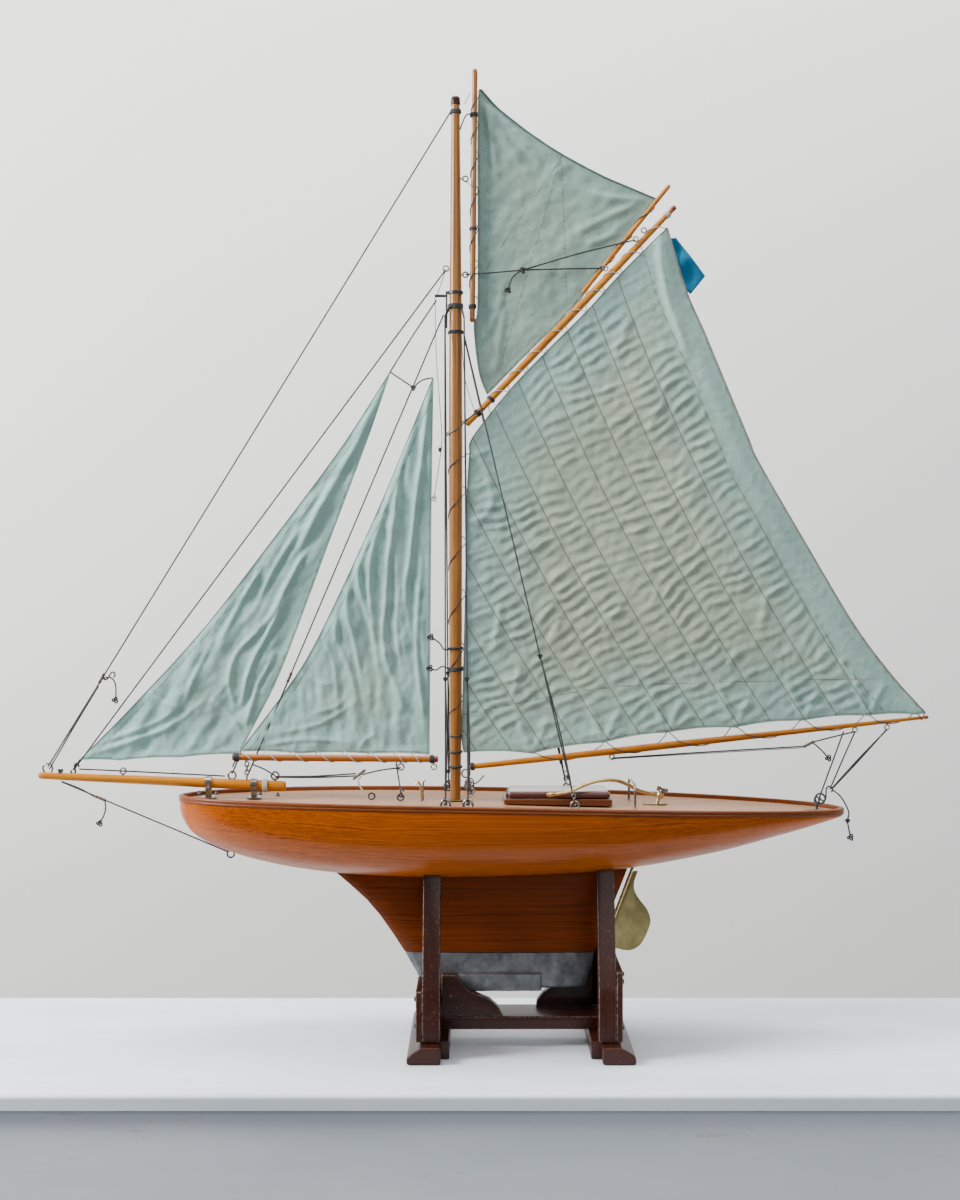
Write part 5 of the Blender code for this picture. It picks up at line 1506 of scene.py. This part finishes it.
def make_headsail_gear(jib, staysail):
    """Halyards, tack and clew cords of the two headsails, and what belays them on the foredeck."""
    jib_head = jib.on_edge("luff")[0]
    jib_tack = jib.on_edge("luff")[-1]
    jib_clew = jib.on_edge("foot")[-1]
    stay_head = staysail.on_edge("luff")[0]
    joined_line("jib_halyard", [(-0.064, 0.0, 1.008), (-0.096, -0.0005, 0.96), jib_head])
    joined_line("jib_head_tie", [(-0.0951, -0.001, 0.8886), (-0.112, -0.001, 0.9),
                                 jib_head + Vector((0, -0.0008, 0))])
    joined_line("staysail_head_tie", [(-0.0951, -0.001, 0.8886), (-0.088, -0.001, 0.896),
                                      (-0.079, -0.0012, 0.9005), stay_head])
    knot("head_tie_knot", (-0.0955, -0.0008, 0.8886), 0.0034, "yacht")
    joined_line("jib_tack_cord", [(-0.559, 0, 0.369), (-0.5535, 0, 0.376), jib_tack])
    joined_line("jib_sheet", [(-0.3422, 0, 0.364), (-0.336, -0.0004, 0.378), jib_clew])
    knot("jib_clew_knot", jib_clew + Vector((0.0005, -0.001, -0.003)), 0.0036, "jib_sail")
    tail("jib_clew_tail", [jib_clew + Vector((0, -0.0012, -0.003)),
                           jib_clew + Vector((-0.006, -0.003, -0.01)),
                           jib_clew + Vector((-0.01, -0.003, -0.018))], "jib_sail", end="bare")
    line("forestay_lashing", [(-0.3218, 0, 0.38), (-0.33, -0.004, 0.388), (-0.338, -0.01, 0.388),
                              (-0.3385, -0.0115, 0.383)], "staysail_rig")
    turns("club_fore_lashing", (-0.335, CLUB_Y, 0.3866), (1, 0, -0.01), 0.005, 5, "staysail_rig",
          pitch=0.0012)
    turns("club_aft_lashing", (-0.07, CLUB_Y, 0.384), (1, 0, -0.01), 0.0049, 4, "staysail_rig", pitch=0.0012)
    stay_slide("forestay", [(-0.2672, -0.0011, 0.487), (-0.2608, -0.0011, 0.5025)],
               [(-0.3192, -0.0014, 0.365), (-0.292, -0.0014, 0.429), (-0.2665, -0.0014, 0.488)])
    for name, x, foot, radius, wire in (("club_eye", -0.1122, 0.3805, 0.0042, 0.0011),
                                        ("club_hook_eye", -0.0673, 0.38, 0.0036, 0.0009)):
        eye_and_shank(name, (x, CLUB_Y, foot), (x, CLUB_Y, 0.3735), radius, wire, "staysail_rig")
    joined_line("club_traveller", [(-0.165, -0.007, 0.363), (-0.14, -0.007, 0.369),
                                   (-0.1122, CLUB_Y - 0.0004, 0.3725)])
    bowsie("club_slide", (-0.1775, -0.007, 0.3565), (-0.16, -0.007, 0.37), "yacht")
    line("club_slide_line", [(-0.173, -0.007, 0.3645), (-0.23, -0.005, 0.3608), (-0.2837, -0.001, 0.3599)],
         "yacht")
    line("club_slide_line_low", [(-0.17, -0.007, 0.3615), (-0.23, -0.005, 0.359), (-0.2837, -0.001, 0.359)],
         "yacht")
    line("foredeck_cord", [(-0.2837, 0.0005, 0.361), (-0.299, 0.0005, 0.37), (-0.314, 0.0002, 0.376)],
         "yacht")
    tail("club_slide_tail", [(-0.166, -0.0072, 0.361), (-0.17, -0.008, 0.354), (-0.164, -0.008, 0.342),
                             (-0.153, -0.008, 0.33)], "yacht", end="bare", look=PALE_CORD, wire=0.0011)
    eye_and_shank("deck_eye_mid", (-0.1517, -0.008, deck_top(-0.15)), (-0.1517, -0.008, 0.334), 0.0042,
                  0.0012, "yacht", IRON, slot="dark_iron")
    hook("sheet_hook", (-0.11, -0.0165, 0.344), (-0.1122, -0.0165, 0.3345), "yacht", wire=0.0012)
    eye_and_shank("deck_eye_aft", (-0.1122, -0.0165, deck_top(-0.11)), (-0.1122, -0.0165, 0.3335), 0.0042,
                  0.0012, "yacht", IRON, slot="dark_iron")
    line("belaying_hoop_pale", [(-0.0835, -0.026, deck_top(-0.08)), (-0.0838, -0.026, 0.34),
                                (-0.0855, -0.026, 0.352), (-0.088, -0.026, 0.356), (-0.0905, -0.026, 0.352)],
         "yacht", 0.0014, BRASS_ROD, slot="brass")
    line("belaying_hoop_dark", [(-0.082, -0.01, deck_top(-0.08)), (-0.0822, -0.01, 0.342),
                                (-0.0815, -0.01, 0.354), (-0.079, -0.01, 0.357)], "yacht", 0.0013, NICKEL,
         slot="dark_iron")


def make_mast_gear():
    """Rings, lashings, the gooseneck and the cords that hold the spars to the mast."""
    for label, z, count in (("a", 0.415, 1), ("b", 0.3932, 2), ("c", 0.3728, 2)):
        turns(f"mast_lashing_{label}", (MAST_X, 0, z), UPRIGHT, mast_radius(z) + CORD, count, "yacht",
              pitch=0.0013)
    ring("gooseneck_ring", (-0.024, -0.0008, 0.364), 0.0054, 0.0011, "main_rig")
    ring("gooseneck_hanging_ring", (-0.019, -0.003, 0.3525), 0.0054, 0.0011, "main_rig", facing=(0.1, 1, 0))
    line("gooseneck_pin", [(-0.015, -0.003, 0.35), (-0.0085, -0.0035, 0.352), (-0.0025, -0.0035, 0.358),
                           (0.0007, -0.0035, 0.3619)], "main_rig", 0.0009, IRON, slot="dark_iron")
    hook("gooseneck_s_hook", (-0.019, -0.0032, 0.349), (-0.018, -0.0032, 0.337), "main_rig", wire=0.001)
    turns("boom_jaw_lashing", (-0.015, 0, 0.3734), (1, 0, 0.1), 0.0046, 3, "main_rig", pitch=0.0016)
    for label, z in (("top", 1.1733), ("low", 1.0426)):
        eye_and_shank(f"mast_eye_{label}", (MAST_X + mast_radius(z) * 0.6, 0, z), (-0.0245, 0, z), 0.0036,
                      0.0011, "yacht")
    eye_and_shank("mast_eye_fore", (MAST_X - mast_radius(1.05) * 0.6, 0, 1.05), (-0.0513, 0, 1.051), 0.0038,
                  0.0011, "yacht")
    line("bracket_link", [(-0.064, 0, 1.012), (-0.0545, 0, 1.04), (-0.0525, 0, 1.047)], "yacht", 0.0006, IRON,
         slot="dark_iron")
    for side, label in SIDES:
        line(f"shroud_strop_{label}", [(-0.0525, side * 0.0075, 0.985), (-0.047, side * 0.0082, 0.996),
                                       (-0.038, side * 0.0092, 1.001), (-0.03, side * 0.0082, 0.996),
                                       (-0.0265, side * 0.0075, 0.984)], "yacht")
    for name, z, measured_at, count in (("shroud", 0.999, 1.0, 5), ("runner", 0.964, 0.96, 3),
                                        ("topmast", 1.264, 1.264, 4)):
        turns(f"{name}_band", (MAST_X, 0, z), UPRIGHT, mast_radius(measured_at) + CORD, count, "yacht",
              pitch=0.0013)
    gaff_jaw = [(0.001, -0.0055, 0.861), (-0.018, -0.0098, 0.848), (-0.034, -0.0108, 0.833),
                (-0.049, -0.004, 0.824), (-0.05, 0.004, 0.827), (-0.034, 0.0108, 0.84),
                (-0.018, 0.0098, 0.85), (0.001, 0.0052, 0.862)]
    line("gaff_jaw_rope", gaff_jaw, "main_rig", 0.0009)
    turns("gaff_jaw_lashing", (-0.008, 0, 0.8543), GAFF[1] - GAFF[0], 0.005, 3, "main_rig", pitch=0.0016)
    turns("gaff_throat_lashing", (0.01, 0, 0.8731), GAFF[1] - GAFF[0], 0.0052, 3, "main_rig", pitch=0.0014)
    turns("gaff_peak_lashing", (0.25, 0, 1.1241), GAFF[1] - GAFF[0], 0.0042, 4, "main_rig", pitch=0.0013,
          look=PALE_CORD)
    tail("mast_rope_end_high", [(-0.047, -0.007, 0.533), (-0.054, -0.0085, 0.533), (-0.06, -0.0085, 0.542),
                                (-0.0714, -0.008, 0.5497)], "yacht")
    for label, z, count, pitch in (("high", 0.534, 2, 0.0016), ("low", 0.506, 4, 0.0013)):
        turns(f"mast_rope_turns_{label}", (MAST_X, 0, z), UPRIGHT, mast_radius(z) + CORD, count, "yacht",
              pitch=pitch)
    tail("mast_rope_end_low", [(-0.047, -0.007, 0.506), (-0.056, -0.0085, 0.51), (-0.064, -0.0085, 0.505),
                               (-0.0728, -0.008, 0.5075)], "yacht")
    parrel = [(-0.066, -0.004, 1.015), (-0.064, -0.006, 0.93), (-0.059, -0.007, 0.86),
              (-0.0565, -0.008, 0.8177), (-0.06, -0.008, 0.785)]
    line("peak_halyard_fall", parrel, "yacht", LIGHT_LINE)
    tail("peak_halyard_tail", [(-0.06, -0.008, 0.785), (-0.063, -0.008, 0.765), (-0.0673, -0.008, 0.7374)],
         "yacht", wire=LIGHT_LINE)
    turns("throat_whipping", (-0.059, -0.008, 0.804), (0.1, 0, 1), 0.0014, 4, "yacht", pitch=0.0011)
    line("throat_halyard", [(-0.03, -0.0078, 0.956), (-0.025, -0.006, 0.9), (-0.012, -0.0056, 0.856)],
         "main_rig", LIGHT_LINE)
    joined_line("peak_halyard", [(-0.0245, -0.001, 1.0426), (0.015, -0.006, 1.0445),
                                 (0.0537, -0.007, 1.0476)])
    knot("peak_halyard_knot", (0.0537, -0.007, 1.0476), 0.0042, "main_rig")
    line("peak_halyard_high", [(0.0537, -0.007, 1.0476), (0.129, -0.0062, 1.07), (0.2061, -0.0046, 1.089)],
         "main_rig")
    line("peak_halyard_low", [(0.0537, -0.007, 1.0476), (0.11, -0.0068, 1.0492), (0.1653, -0.0058, 1.0503)],
         "main_rig")
    tail("topsail_halyard_tail", [(0.0537, -0.0072, 1.0476), (0.045, -0.008, 1.043), (0.038, -0.008, 1.035),
                                  (0.0333, -0.008, 1.0204)], "main_rig")
    for label, x, z in (("high", 0.2175, 1.102), ("low", 0.2065, 1.09)):
        ring(f"gaff_ring_{label}", (x, -0.0052, z), 0.0034, 0.001, "main_rig")
    ring("gaff_ring_mid", (0.1655, -0.006, 1.05), 0.0032, 0.001, "main_rig")
    joined_line("topsail_halyard", [(-0.032, 0, 1.24), (-0.024, -0.0045, 1.258), (-0.014, -0.0045, 1.26)])
    for label, spot, radius, count in (("upper", (-0.013, 0, 1.26), 0.0046, 4),
                                       ("lower", (-0.014, 0, 1.105), 0.0046, 3),
                                       ("heel", (-0.015, 0, 0.999), 0.0045, 4)):
        turns(f"yard_{label}_lashing", spot, YARD[1] - YARD[0], radius, count, "main_rig", pitch=0.0013)
    line("yard_top_cord", [(-0.0271, -0.006, 1.2721), (-0.022, -0.006, 1.28), (-0.0184, -0.005, 1.2884)],
         "main_rig", LIGHT_LINE)
    line("yard_strop_high", [(-0.032, -0.006, 1.1733), (-0.02, -0.006, 1.165), (-0.014, -0.0046, 1.16)],
         "main_rig", LIGHT_LINE)


def make_boom_gear():
    """The sheet, the topping line and its slide under the boom, and the stern eye's hooks and rings."""
    for label, x, foot, eye, radius in (("fore", 0.1748, 0.3925, 0.3864, 0.0033),
                                        ("mid", 0.5054, 0.428, 0.4235, 0.0032),
                                        ("aft", 0.549, 0.432, 0.427, 0.0032)):
        eye_and_shank(f"boom_eye_{label}", (x, 0, foot), (x, 0, eye), radius, 0.001, "main_rig")
    line("boom_line", [(0.1748, -0.0012, 0.385), (0.3, -0.0012, 0.393), (0.436, -0.0012, 0.401)], "main_rig")
    line("boom_line_double", [(0.1748, -0.0012, 0.3838), (0.3, -0.0012, 0.3912), (0.433, -0.0012, 0.3988)],
         "main_rig", LIGHT_LINE)
    bowsie("boom_slide", (0.434, -0.0012, 0.3996), (0.45, -0.0012, 0.408), "main_rig")
    line("boom_line_end", [(0.449, -0.0012, 0.407), (0.48, -0.0012, 0.415), (0.5054, -0.001, 0.421)],
         "main_rig")
    tail("boom_tail", [(0.448, -0.0014, 0.406), (0.456, -0.003, 0.399), (0.462, -0.003, 0.393),
                       (0.4687, -0.003, 0.385)], "main_rig")
    joined_line("mainsheet_fore", [(0.4714, -0.0008, 0.3429), (0.489, -0.0008, 0.384),
                                   (0.5054, -0.0008, 0.421)])
    for index, offset in enumerate((0.0, 0.003)):
        joined_line(f"mainsheet_aft_{index}", [(0.4728 + offset * 0.3, -0.0016, 0.3429),
                                               (0.51 + offset * 0.8, -0.0016, 0.384),
                                               (0.549 - offset * 0.3, -0.0016, 0.424)])
    hook("sheet_s_hook", (0.4718, -0.0008, 0.345), (0.46, -0.0008, 0.3285), "yacht", wire=0.0011)
    tail("mainsheet_tail", [(0.474, -0.002, 0.342), (0.485, -0.004, 0.333), (0.4959, -0.004, 0.3129),
                            (0.4945, -0.004, 0.2993), (0.4986, -0.004, 0.2776)], "yacht")
    knot("mainsheet_tail_mid_knot", (0.4945, -0.004, 0.3), 0.003, "yacht", wire=CORD * 0.9)
    ring("stern_ring", (0.4578, -0.0012, 0.33), 0.0068, 0.0013, "yacht", IRON, slot="dark_iron")
    low = deck_top(0.45) + 0.0001
    rounded_block("stern_plate", (0.433, 0.47), (-0.0065, 0.0065), (low, low + 0.001), BRASS, "yacht", 0.0004,
                  slot="brass")


# ---------------------------------------------------------------- deck, hatch, steering, keel and stand

def make_hatch():
    """The coaming, and the lift-off cover, whose top face is painted pale as a highlight, and four clips."""
    soften("hatch_coaming", HATCH_WOOD, 0.001)
    x0, x1, y0, y1 = 0.033, 0.1686, 0.037, 0.033
    low, high = 0.3335, 0.3438
    rounded_block("hatch_cover_body", (x0, x1), (-y0, y0), (low, high - 0.0007), COVER_SIDE, "hatch", 0.0042,
                  ("hatch_cover",), "red_wood", segments=6)
    # The cover's top face is coloured pale: a painted highlight of the light on the dark top.
    rounded_block("hatch_cover_highlight_face", (x0 + 0.0032, x1 - 0.0032), (-y1, y1), (high - 0.0012, high), COVER_TOP_HIGHLIGHT,
                  "hatch", 0.0005, slot="hatch_wood")
    for label, x in (("fore", 0.0316), ("aft", 0.1694)):
        for side in (-1, 1):
            rounded_block(f"hatch_clip_{label}_{'port' if side < 0 else 'starboard'}",
                          (x - 0.0012, x + 0.0012), (side * 0.014 - 0.004, side * 0.014 + 0.004),
                          (0.3336, 0.3392), NICKEL, "hatch", 0.0004, slot="nickel_fittings")


def make_deck_fittings():
    """The deck, the plates and brackets, and every screw eye on the deck."""
    for node_name in ("bowsprit_saddle_fore", "bowsprit_saddle_aft"):
        soften(node_name, NICKEL, 0.0005)
    soften("rudder_head_plate", BRASS, 0.0003)
    soften("wing_nut", NICKEL, 0.0004)
    soften("mast_bracket", IRON, 0.0003)
    soften("deck", DECK, 0.0003)
    for side, label in SIDES:
        for edge, x in (("fore", -0.0495), ("aft", -0.0203)):
            eye_and_shank(f"chainplate_{edge}_{label}_eye", (x, side * 0.1065, deck_top(x)),
                          (x, side * 0.1065, 0.3352), 0.006, 0.0017, "yacht", NICKEL, facing=(0.15, 1, 0))
            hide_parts(f"chainplate_{edge}_{label}")
        eye_and_shank(f"runner_eye_{label}_ring", (0.1183, side * 0.1035, deck_top(0.1183)),
                      (0.1183, side * 0.1035, 0.3335), 0.0052, 0.0014, "yacht", NICKEL, facing=(0.2, 1, 0))
        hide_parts(f"runner_eye_{label}")
    eye_and_shank("stern_eye_ring", (0.4535, 0, deck_top(0.4535)), (0.4535, 0, 0.327), 0.0054, 0.0014,
                  "yacht", IRON, facing=(1, 0.4, 0), slot="dark_iron")
    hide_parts("stern_eye")
    eye_and_shank("deck_far_eye", (-0.0156, 0.06, deck_top(-0.0156)), (-0.0156, 0.06, 0.333), 0.0032, 0.0008,
                  "yacht")


def steered(points):
    """Points of the fore-and-aft plane, turned about the raked stock to where the tiller rests."""
    turn = Matrix.Rotation(math.radians(RUDDER_ANGLE), 4, STOCK_AXIS)
    return [STOCK_HEAD + turn @ (Vector((x, 0.0, z)) - STOCK_HEAD) for x, z in points]


def make_steering():
    """The blade with its smooth outline, the stock, the bent tiller with its boss, and the wire hoop."""
    round_edge = ((0.164, 0.133), (0.1668, 0.1268), (0.1822, 0.1245), (0.1941, 0.1209), (0.206, 0.1207),
                  (0.2178, 0.1273), (0.2269, 0.1432), (0.2314, 0.1591), (0.2263, 0.1752), (0.2154, 0.1891),
                  (0.2069, 0.2029), (0.2055, 0.2166), (0.2105, 0.231))
    outline_run = [(0.2012, 0.231)] + smooth_run(round_edge, 0.0015)
    corner, above, aft = steered(((0.2, 0.2), (0.2, 0.3), (0.3, 0.2)))
    normal = (corner - above).cross(corner - aft).normalized()
    middle = steered(outline_run)
    rings = []
    for offset, inset in ((-0.0009, 0.0007), (-0.0006, 0.0), (0.0006, 0.0), (0.0009, 0.0007)):
        centre = sum(middle, Vector()) / len(middle)
        rings.append([p + normal * offset + (centre - p).normalized() * inset for p in middle])
    blade = mesh_piece("rudder_blade", *rings_mesh(rings), BRASS, "steering", "brass", ("rudder",), smooth=50)
    fix_normals(blade)
    foot = Vector((0.162, 0.0, 0.1285))
    turned("rudder_stock", foot, STOCK_AXIS, ((0, 0.0016), (0.0008, 0.0024), (0.05, 0.0023),
                                              ((STOCK_HEAD - foot).length, 0.0022)), BRASS_ROD, "steering",
           "brass", sides=20)
    run = ((0.2365, 0.3345), (0.221, 0.3388), (0.2061, 0.3438), (0.192, 0.3517), (0.1796, 0.3569),
           (0.1676, 0.3592), (0.1555, 0.3592), (0.141, 0.3573), (0.1266, 0.3531), (0.115, 0.3488),
           (0.1052, 0.3455), (0.092, 0.3441), (0.076, 0.3435))
    route = curve_through(steered(run), 0.0022)
    size = [0.0026 - 0.0004 * k / len(route) for k in range(len(route))]
    for k, radius in enumerate((0.0012, 0.0024, 0.0031, 0.0033, 0.0028)):
        size[-1 - k] = radius
    swept("tiller_bar", route, size, BRASS_ROD, "steering", 16, "brass", ("tiller",))
    turned("tiller_boss", STOCK_HEAD + STOCK_AXIS * 0.0006, STOCK_AXIS,
           ((0, 0.004), (0.0005, 0.0051), (0.003, 0.0054), (0.0062, 0.0051), (0.0069, 0.004)), BRASS_ROD,
           "steering", "brass", sides=32)
    low = deck_top(0.202)
    half = 0.045
    hoop = [(0.202, -half, low), (0.202, -half, 0.344), (0.202, -half + 0.0016, 0.3496),
            (0.202, -half + 0.007, 0.353), (0.202, -half + 0.016, 0.3536)]
    hoop += [(x, -y, z) for x, y, z in reversed(hoop)]
    line("tiller_hoop", hoop, "yacht", 0.0016, NICKEL, 0.002, slot="nickel_fittings",
         replaces=("tiller_horse",))
    for side, label in SIDES:
        turned(f"hoop_collar_{label}", (0.202, side * half, low), (0, 0, 1),
               ((0, 0.003), (0.0006, 0.0031), (0.0014, 0.0022), (0.0016, 0.0014)), NICKEL, "yacht",
               "nickel_fittings", sides=20)


def make_ballast():
    """The wooden keel and the two lead castings, remeshed and roughened."""
    soften("keel_fin", KEEL, 0.0006)
    for node_name, scale, depth in (("ballast_lead", 60, 0.00055), ("trim_lead", 90, 0.00035)):
        piece = soften(node_name, LEAD, 0.0012)
        bake(piece)
        split = piece.modifiers.new("split", "REMESH")
        split.mode = "VOXEL"
        split.voxel_size = 0.0016
        bake(piece)
        roughened(piece, depth, scale)
        piece.data.shade_smooth()


def make_stand():
    """Two moulded feet with their pads, the bent posts, the boards, the gussets and the bolts."""
    for part in frame["record"]["behaviour"]["bodies"]["stand"]:
        if "foot" not in part:
            soften(part, STAND_Z if "post" in part else STAND_X, 0.0016 if "post" in part else 0.0012,
                   edge_look=STAND_EDGE)
    for label, edge, inner, pad, outer in (("fore", -0.1, -0.0557, (-0.078, -0.045), -1),
                                           ("aft", 0.1971, 0.1534, (0.1404, 0.175), 1)):
        toe = edge - outer * 0.017
        run = [(inner, 0.0004), (edge - outer * 0.0006, 0.0004), (edge, 0.003),
               (edge - outer * 0.0004, 0.0085), (edge - outer * 0.003, 0.0125), (edge - outer * 0.008, 0.016),
               (toe, 0.0212), (toe + outer * -0.003, 0.0222), (inner, 0.0222)]
        rounded_block(f"stand_foot_{label}_body", None, (-0.1176, 0.1176), None, STAND_X, "stand", 0.0038,
                      (f"stand_foot_{label}",), "stand_wood", profile=run)
        rounded_block(f"stand_pad_{label}", pad, (-0.0898, 0.0898), (0.0004, 0.0239), STAND_X, "stand",
                      0.0016, slot="stand_wood")
    dome = ((0, 0.0026), (0.0006, 0.0034), (0.0012, 0.0033), (0.002, 0.0026), (0.0026, 0.0014),
            (0.0028, 0.0004))
    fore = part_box("stand_board_fore")[0][0]
    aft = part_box("stand_board_aft")[1][0]
    for label, x, along_x, heights in (("fore", fore, -1, (0.078, 0.043)),
                                       ("aft", aft, 1, (0.111, 0.101, 0.041))):
        for side, hand in SIDES:
            for index, z in enumerate(heights):
                turned(f"board_bolt_{label}_{hand}_{index}", (x, side * 0.0855, z), (along_x, 0, 0), dome,
                       IRON, "stand", "dark_iron", sides=20)
    turned("gusset_screw", (-0.0442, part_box("stand_gusset_fore")[0][1], 0.069), (0, -1, 0),
           ((0, 0.002), (0.0003, 0.002), (0.0007, 0.0014), (0.0008, 0.0003)), IRON, "stand", "dark_iron",
           sides=16)


# ---------------------------------------------------------------- floor, light and camera

def make_stage():
    """A pale painted shelf with a rounded front edge, and a plain wall well behind it."""
    top, tree, shader = blank("painted shelf", 0.55, specular=0.3)
    smears = noise_at(tree, place(tree, (2.0, 9.0, 9.0)), 1.0, 5.0, 0.6)
    worn = noise_at(tree, place(tree, (12.0, 60.0, 60.0)), 1.0, 6.0, 0.7)
    paint = ramp(tree, smears, ((0.3, (0.66, 0.73, 0.8)), (0.7, (0.8, 0.87, 0.94))))
    chips = node(tree, "ShaderNodeMapRange", {"Value": worn, "From Min": 0.62, "From Max": 0.7})
    tree.links.new(mix(tree, chips.outputs[0], paint, (0.62, 0.6, 0.56)), shader.inputs["Base Color"])
    wall, tree, shader = blank("plain wall", 0.9, specular=0.1)
    shader.inputs["Base Color"].default_value = (0.8, 0.79, 0.775, 1.0)
    from_behind = node(tree, "ShaderNodeNewGeometry").outputs["Backfacing"]
    clear = node(tree, "ShaderNodeBsdfTransparent").outputs[0]
    one_sided = node(tree, "ShaderNodeMixShader", {0: from_behind, 1: shader.outputs[0], 2: clear})
    exit_node = next(spot for spot in tree.nodes if spot.type == "OUTPUT_MATERIAL")
    tree.links.new(one_sided.outputs[0], exit_node.inputs["Surface"])
    profile = [(0.238, -0.3), (0.238, -0.0002)]
    for k in range(7):
        angle = math.pi / 2 * k / 6
        profile.append((-0.232 - 0.006 * math.sin(angle), -0.0062 + 0.006 * math.cos(angle)))
    profile += [(-0.238, -0.02), (-0.226, -0.0215), (-0.226, -0.6), (0.238, -0.6)]
    for name, look, rows in (("shelf", top, profile), ("wall", wall, [(1.1, -1.0), (1.1, 4.0)])):
        points = [(x, y, z) for y, z in rows for x in (-5.0, 5.0)]
        faces = [(2 * i, 2 * i + 1, 2 * i + 3, 2 * i + 2) for i in range(len(rows) - 1)]
        mesh = bpy.data.meshes.new(name)
        mesh.from_pydata(points, [], faces)
        mesh.materials.append(look)
        piece = bpy.data.objects.new(name, mesh)
        SCENE.objects.link(piece)


def lamp(name, spot, aim, size, power, colour):
    """A rectangular area light at spot, aimed at a point."""
    data = bpy.data.lights.new(name, "AREA")
    data.shape = "RECTANGLE"
    data.size, data.size_y = size
    data.energy = power
    data.color = colour
    light = bpy.data.objects.new(name, data)
    SCENE.objects.link(light)
    light.location = spot
    light.rotation_euler = (Vector(aim) - Vector(spot)).to_track_quat("-Z", "Y").to_euler()


def make_light():
    """A window ahead and to port, a soft room, and a wash on the wall."""
    lamp("window", (-2.6, -0.8, 1.8), (0.0, 0.0, 0.62), (1.0, 1.2), 198.0, (1.0, 0.985, 0.955))
    lamp("room", (1.3, -3.2, 1.7), (0.0, 0.0, 0.6), (2.0, 2.0), 38.0, (0.96, 0.98, 1.0))
    lamp("ceiling", (0.2, -0.3, 3.1), (0.2, 0.0, 0.0), (3.0, 1.6), 66.0, (0.97, 0.99, 1.0))
    lamp("wall wash", (0.9, 0.1, 3.1), (0.7, 1.1, 0.7), (4.0, 0.5), 90.0, (1.0, 1.0, 1.0))
    world = bpy.data.worlds.new("soft room")
    bpy.context.scene.world = world
    world.use_nodes = True
    world.node_tree.nodes["Background"].inputs["Color"].default_value = (0.94, 0.96, 1.0, 1.0)
    world.node_tree.nodes["Background"].inputs["Strength"].default_value = 0.2


CAMERA_LENS = 48.5
CAMERA_SPOT = (-0.0048, -2.2, 0.6)


def make_camera():
    """A level camera square to the port side."""
    data = bpy.data.cameras.new("camera")
    data.lens = CAMERA_LENS
    data.sensor_width = 36.0
    camera = bpy.data.objects.new("camera", data)
    SCENE.objects.link(camera)
    camera.location = CAMERA_SPOT
    camera.rotation_euler = (math.pi / 2, 0.0, 0.0)
    bpy.context.scene.camera = camera


# ---------------------------------------------------------------- the whole yacht

make_stage()
make_light()
make_camera()
make_hull()
make_rail()
dress("mast_step", KEEL)
dress("rudder_tube", BRASS)
make_ballast()
make_spars()
MAINSAIL, JIB, STAYSAIL, TOPSAIL = make_sails()
make_lacings(MAINSAIL, STAYSAIL, TOPSAIL)
make_stays()
make_bow_gear()
make_headsail_gear(JIB, STAYSAIL)
make_mast_gear()
make_boom_gear()
make_hatch()
make_deck_fittings()
make_steering()
make_stand()
